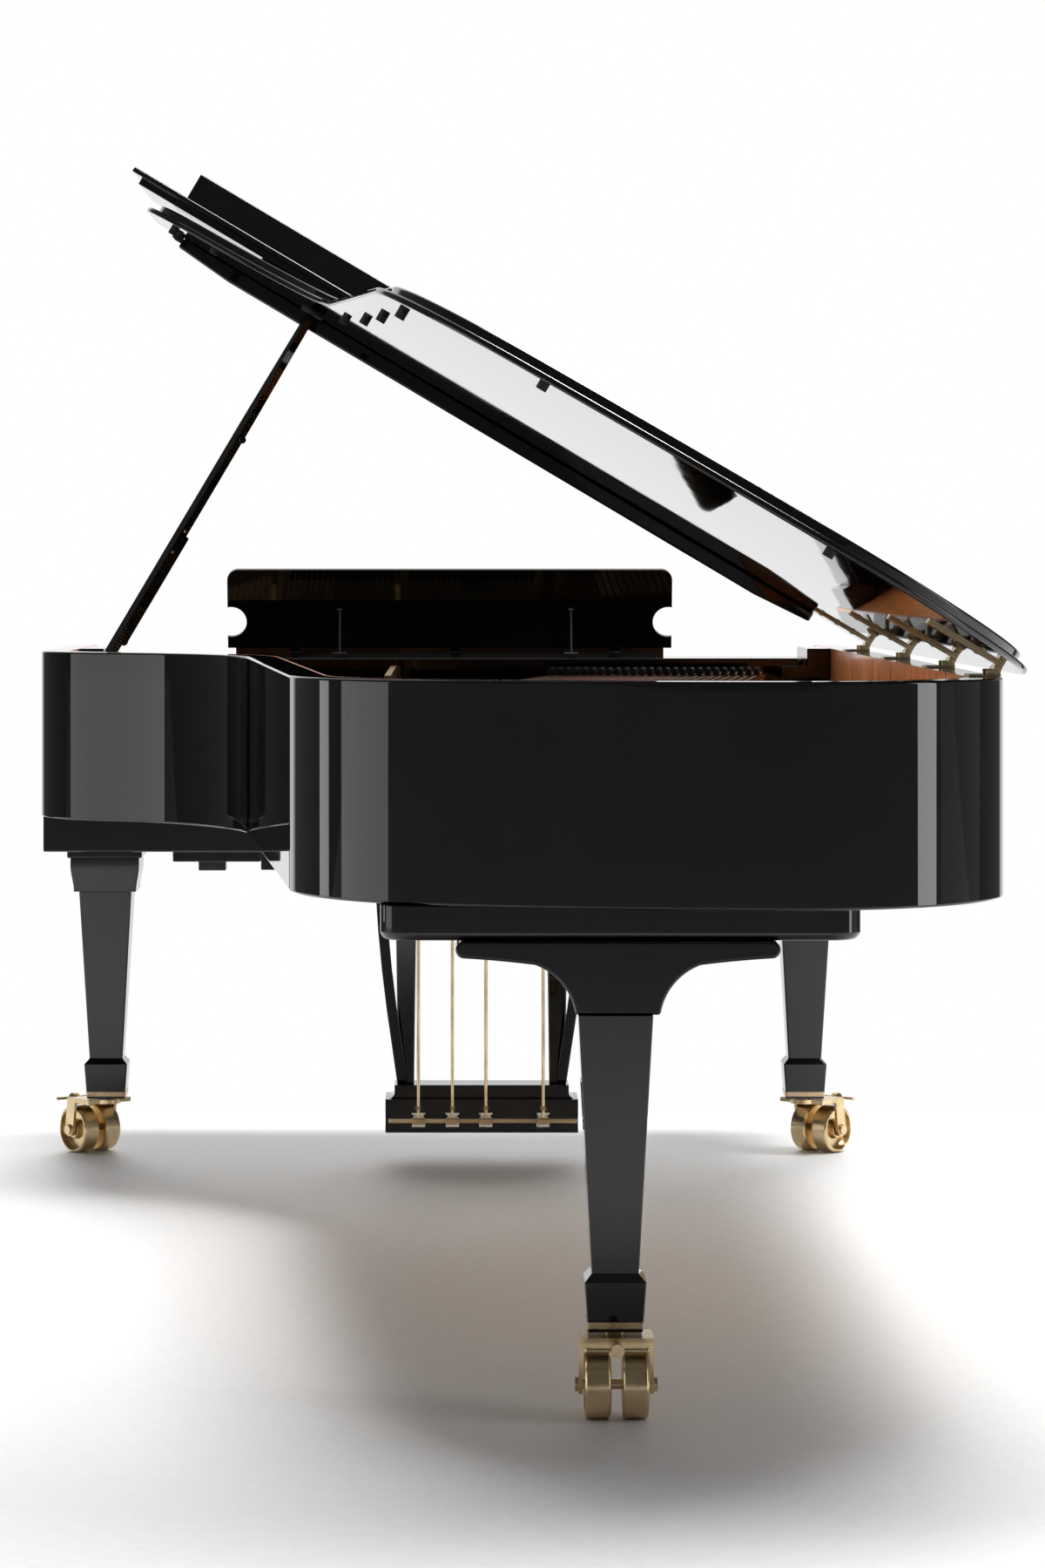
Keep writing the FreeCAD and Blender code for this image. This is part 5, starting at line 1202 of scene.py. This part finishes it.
class Studio:
    """Floor, light and camera.

    Attributes:
        SENSOR: Height of the camera's sensor, in millimetres.
        FLOOR_SIDE: Reach of the floor to either side and behind the camera, in metres.
        FLOOR_BACK: Y of the floor's far edge, in metres.
        FLOOR_FADE: Y at which the floor begins to fade, and at which it is gone.
        WEDGE: How fast the white background narrows to the sides.
        WEDGE_EDGE: Wedge values at which the background is dim and at which it is white.
        DIM: Strength of the background outside the wedge.
        PANELS: Light panels.
    """

    SENSOR = 36.0
    FLOOR_SIDE = 40.0
    FLOOR_BACK = 9.0
    FLOOR_FADE = (0.25, 0.42)
    WEDGE = -1.9
    WEDGE_EDGE = (-0.06, 0.12)
    DIM = 0.1
    PANELS: Tuple[Panel, ...] = (
        Panel("left_box", (-0.4, -1.0, 4.2), (0.0, -2.0, 0.3), (1.6, 1.6), 210.0, False),
        Panel("right_box", (1.35, -1.0, 4.2), (0.2, -2.0, 0.3), (1.6, 1.6), 225.0),
        Panel("back_fill", (0.0, 4.2, 1.6), (0.0, -1.2, 0.0), (6.0, 2.2), 190.0, False),
        Panel("case_fill", (-4.2, -1.9, 3.2), (0.45, -1.9, 1.0), (2.4, 0.5), 6.0, False, 14.0),
        Panel("left_panel", (-8.0, -3.28, 1.45), (0.0, -2.6, 0.85), (4.3, 2.9), 52.0),
        Panel("left_strip", (-1.25, -2.335, 0.83), (-0.25, -3.0, 0.88), (0.18, 0.5), 0.6),
        Panel("right_panel", (4.0, -2.2, 1.45), (0.6, -3.0, 0.9), (2.2, 2.8), 2.6),
        Panel("right_strip", (4.0, -3.8, 1.45), (0.6, -3.0, 0.9), (0.8, 2.8), 28.0),
    )

    def build(self) -> None:
        """Build the whole studio."""
        self.floor()
        self.world()
        for panel in self.PANELS:
            self.light(panel)
        self.camera(CameraPlan())

    def floor(self) -> None:
        """Pale floor whose far side runs out into the white background."""
        mesh = bpy.data.meshes.new("floor")
        side = self.FLOOR_SIDE
        back = self.FLOOR_BACK
        corners = [(-side, -side, 0.0), (side, -side, 0.0), (side, back, 0.0), (-side, back, 0.0)]
        mesh.from_pydata(corners, [], [(0, 1, 2, 3)])
        floor = bpy.data.objects.new("floor", mesh)
        bpy.context.scene.collection.objects.link(floor)
        graph = Graph("floor_paper")
        grain = graph.noise(graph.place((40.0, 40.0, 40.0)), 3.0, 0.5)
        paper = graph.ramp(grain, ((0.3, (0.84, 0.84, 0.85)), (0.7, (0.88, 0.88, 0.88))))
        graph.drive("Base Color", paper)
        graph.drive("Roughness", graph.span(grain, 0.5, 0.7))
        graph.drive("Alpha", graph.span(graph.axis("Y"), 1.0, 0.0, *self.FLOOR_FADE))
        mesh.materials.append(graph.material)

    def world(self) -> None:
        """White to the camera and to rays that run on away from it, dim to the sides and behind it."""
        world = bpy.data.worlds.new("studio")
        bpy.context.scene.world = world
        world.use_nodes = True
        nodes = world.node_tree.nodes
        links = world.node_tree.links
        background = nodes["Background"]
        coords = nodes.new("ShaderNodeTexCoord")
        split = nodes.new("ShaderNodeSeparateXYZ")
        links.new(coords.outputs["Generated"], split.inputs["Vector"])
        aside = nodes.new("ShaderNodeMath")
        aside.operation = "ABSOLUTE"
        links.new(split.outputs["X"], aside.inputs[0])
        wedge = nodes.new("ShaderNodeMath")
        wedge.operation = "MULTIPLY_ADD"
        wedge.inputs[1].default_value = self.WEDGE
        links.new(aside.outputs["Value"], wedge.inputs[0])
        links.new(split.outputs["Y"], wedge.inputs[2])
        ahead = nodes.new("ShaderNodeMapRange")
        ahead.inputs["From Min"].default_value = self.WEDGE_EDGE[0]
        ahead.inputs["From Max"].default_value = self.WEDGE_EDGE[1]
        ahead.inputs["To Min"].default_value = self.DIM
        ahead.inputs["To Max"].default_value = 1.0
        links.new(wedge.outputs["Value"], ahead.inputs["Value"])
        path = nodes.new("ShaderNodeLightPath")
        seen = nodes.new("ShaderNodeMath")
        seen.operation = "MAXIMUM"
        links.new(path.outputs["Is Camera Ray"], seen.inputs[0])
        links.new(ahead.outputs["Result"], seen.inputs[1])
        links.new(seen.outputs["Value"], background.inputs["Color"])
        background.inputs["Strength"].default_value = 1.0

    @staticmethod
    def light(panel: Panel) -> None:
        """Add a soft panel that the camera can't see.

        Args:
            panel: Place, size and power.
        """
        data = bpy.data.lights.new(panel.name, "AREA")
        data.shape = "RECTANGLE"
        data.size, data.size_y = panel.size
        data.energy = panel.power
        data.spread = math.radians(panel.spread)
        lamp = bpy.data.objects.new(panel.name, data)
        lamp.location = panel.place
        away = np.array(panel.place) - np.array(panel.aim)
        across = math.atan2(away[0], -away[1])
        lift = math.atan2(np.hypot(away[0], away[1]), away[2])
        lamp.rotation_euler = (lift, 0.0, across)
        lamp.visible_camera = False
        lamp.visible_glossy = panel.mirrored
        bpy.context.scene.collection.objects.link(lamp)

    def camera(self, plan: CameraPlan) -> None:
        """Add the camera of the photograph.

        Args:
            plan: Position, focal length and centre in pixels.
        """
        data = bpy.data.cameras.new("photo_camera")
        width, height = plan.frame
        data.sensor_fit = "VERTICAL"
        data.sensor_height = self.SENSOR
        data.sensor_width = self.SENSOR
        data.lens = plan.focal / height * self.SENSOR
        data.shift_x = (width / 2.0 - plan.centre[0]) / height
        data.shift_y = (plan.centre[1] - height / 2.0) / height
        camera = bpy.data.objects.new("photo_camera", data)
        camera.location = plan.place
        camera.rotation_euler = (math.radians(90.0), 0.0, 0.0)
        bpy.context.scene.collection.objects.link(camera)
        bpy.context.scene.camera = camera


def main() -> None:
    """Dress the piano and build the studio."""
    logging.basicConfig(level=logging.INFO)
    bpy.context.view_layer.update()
    library = MaterialLibrary()
    Wardrobe(library).dress()
    shop = Workshop(library)
    Stringing().build(shop)
    Brasswork().build(shop)
    Studio().build()
    bpy.context.scene.view_settings.view_transform = "Standard"


if __name__ == "__main__":
    main()
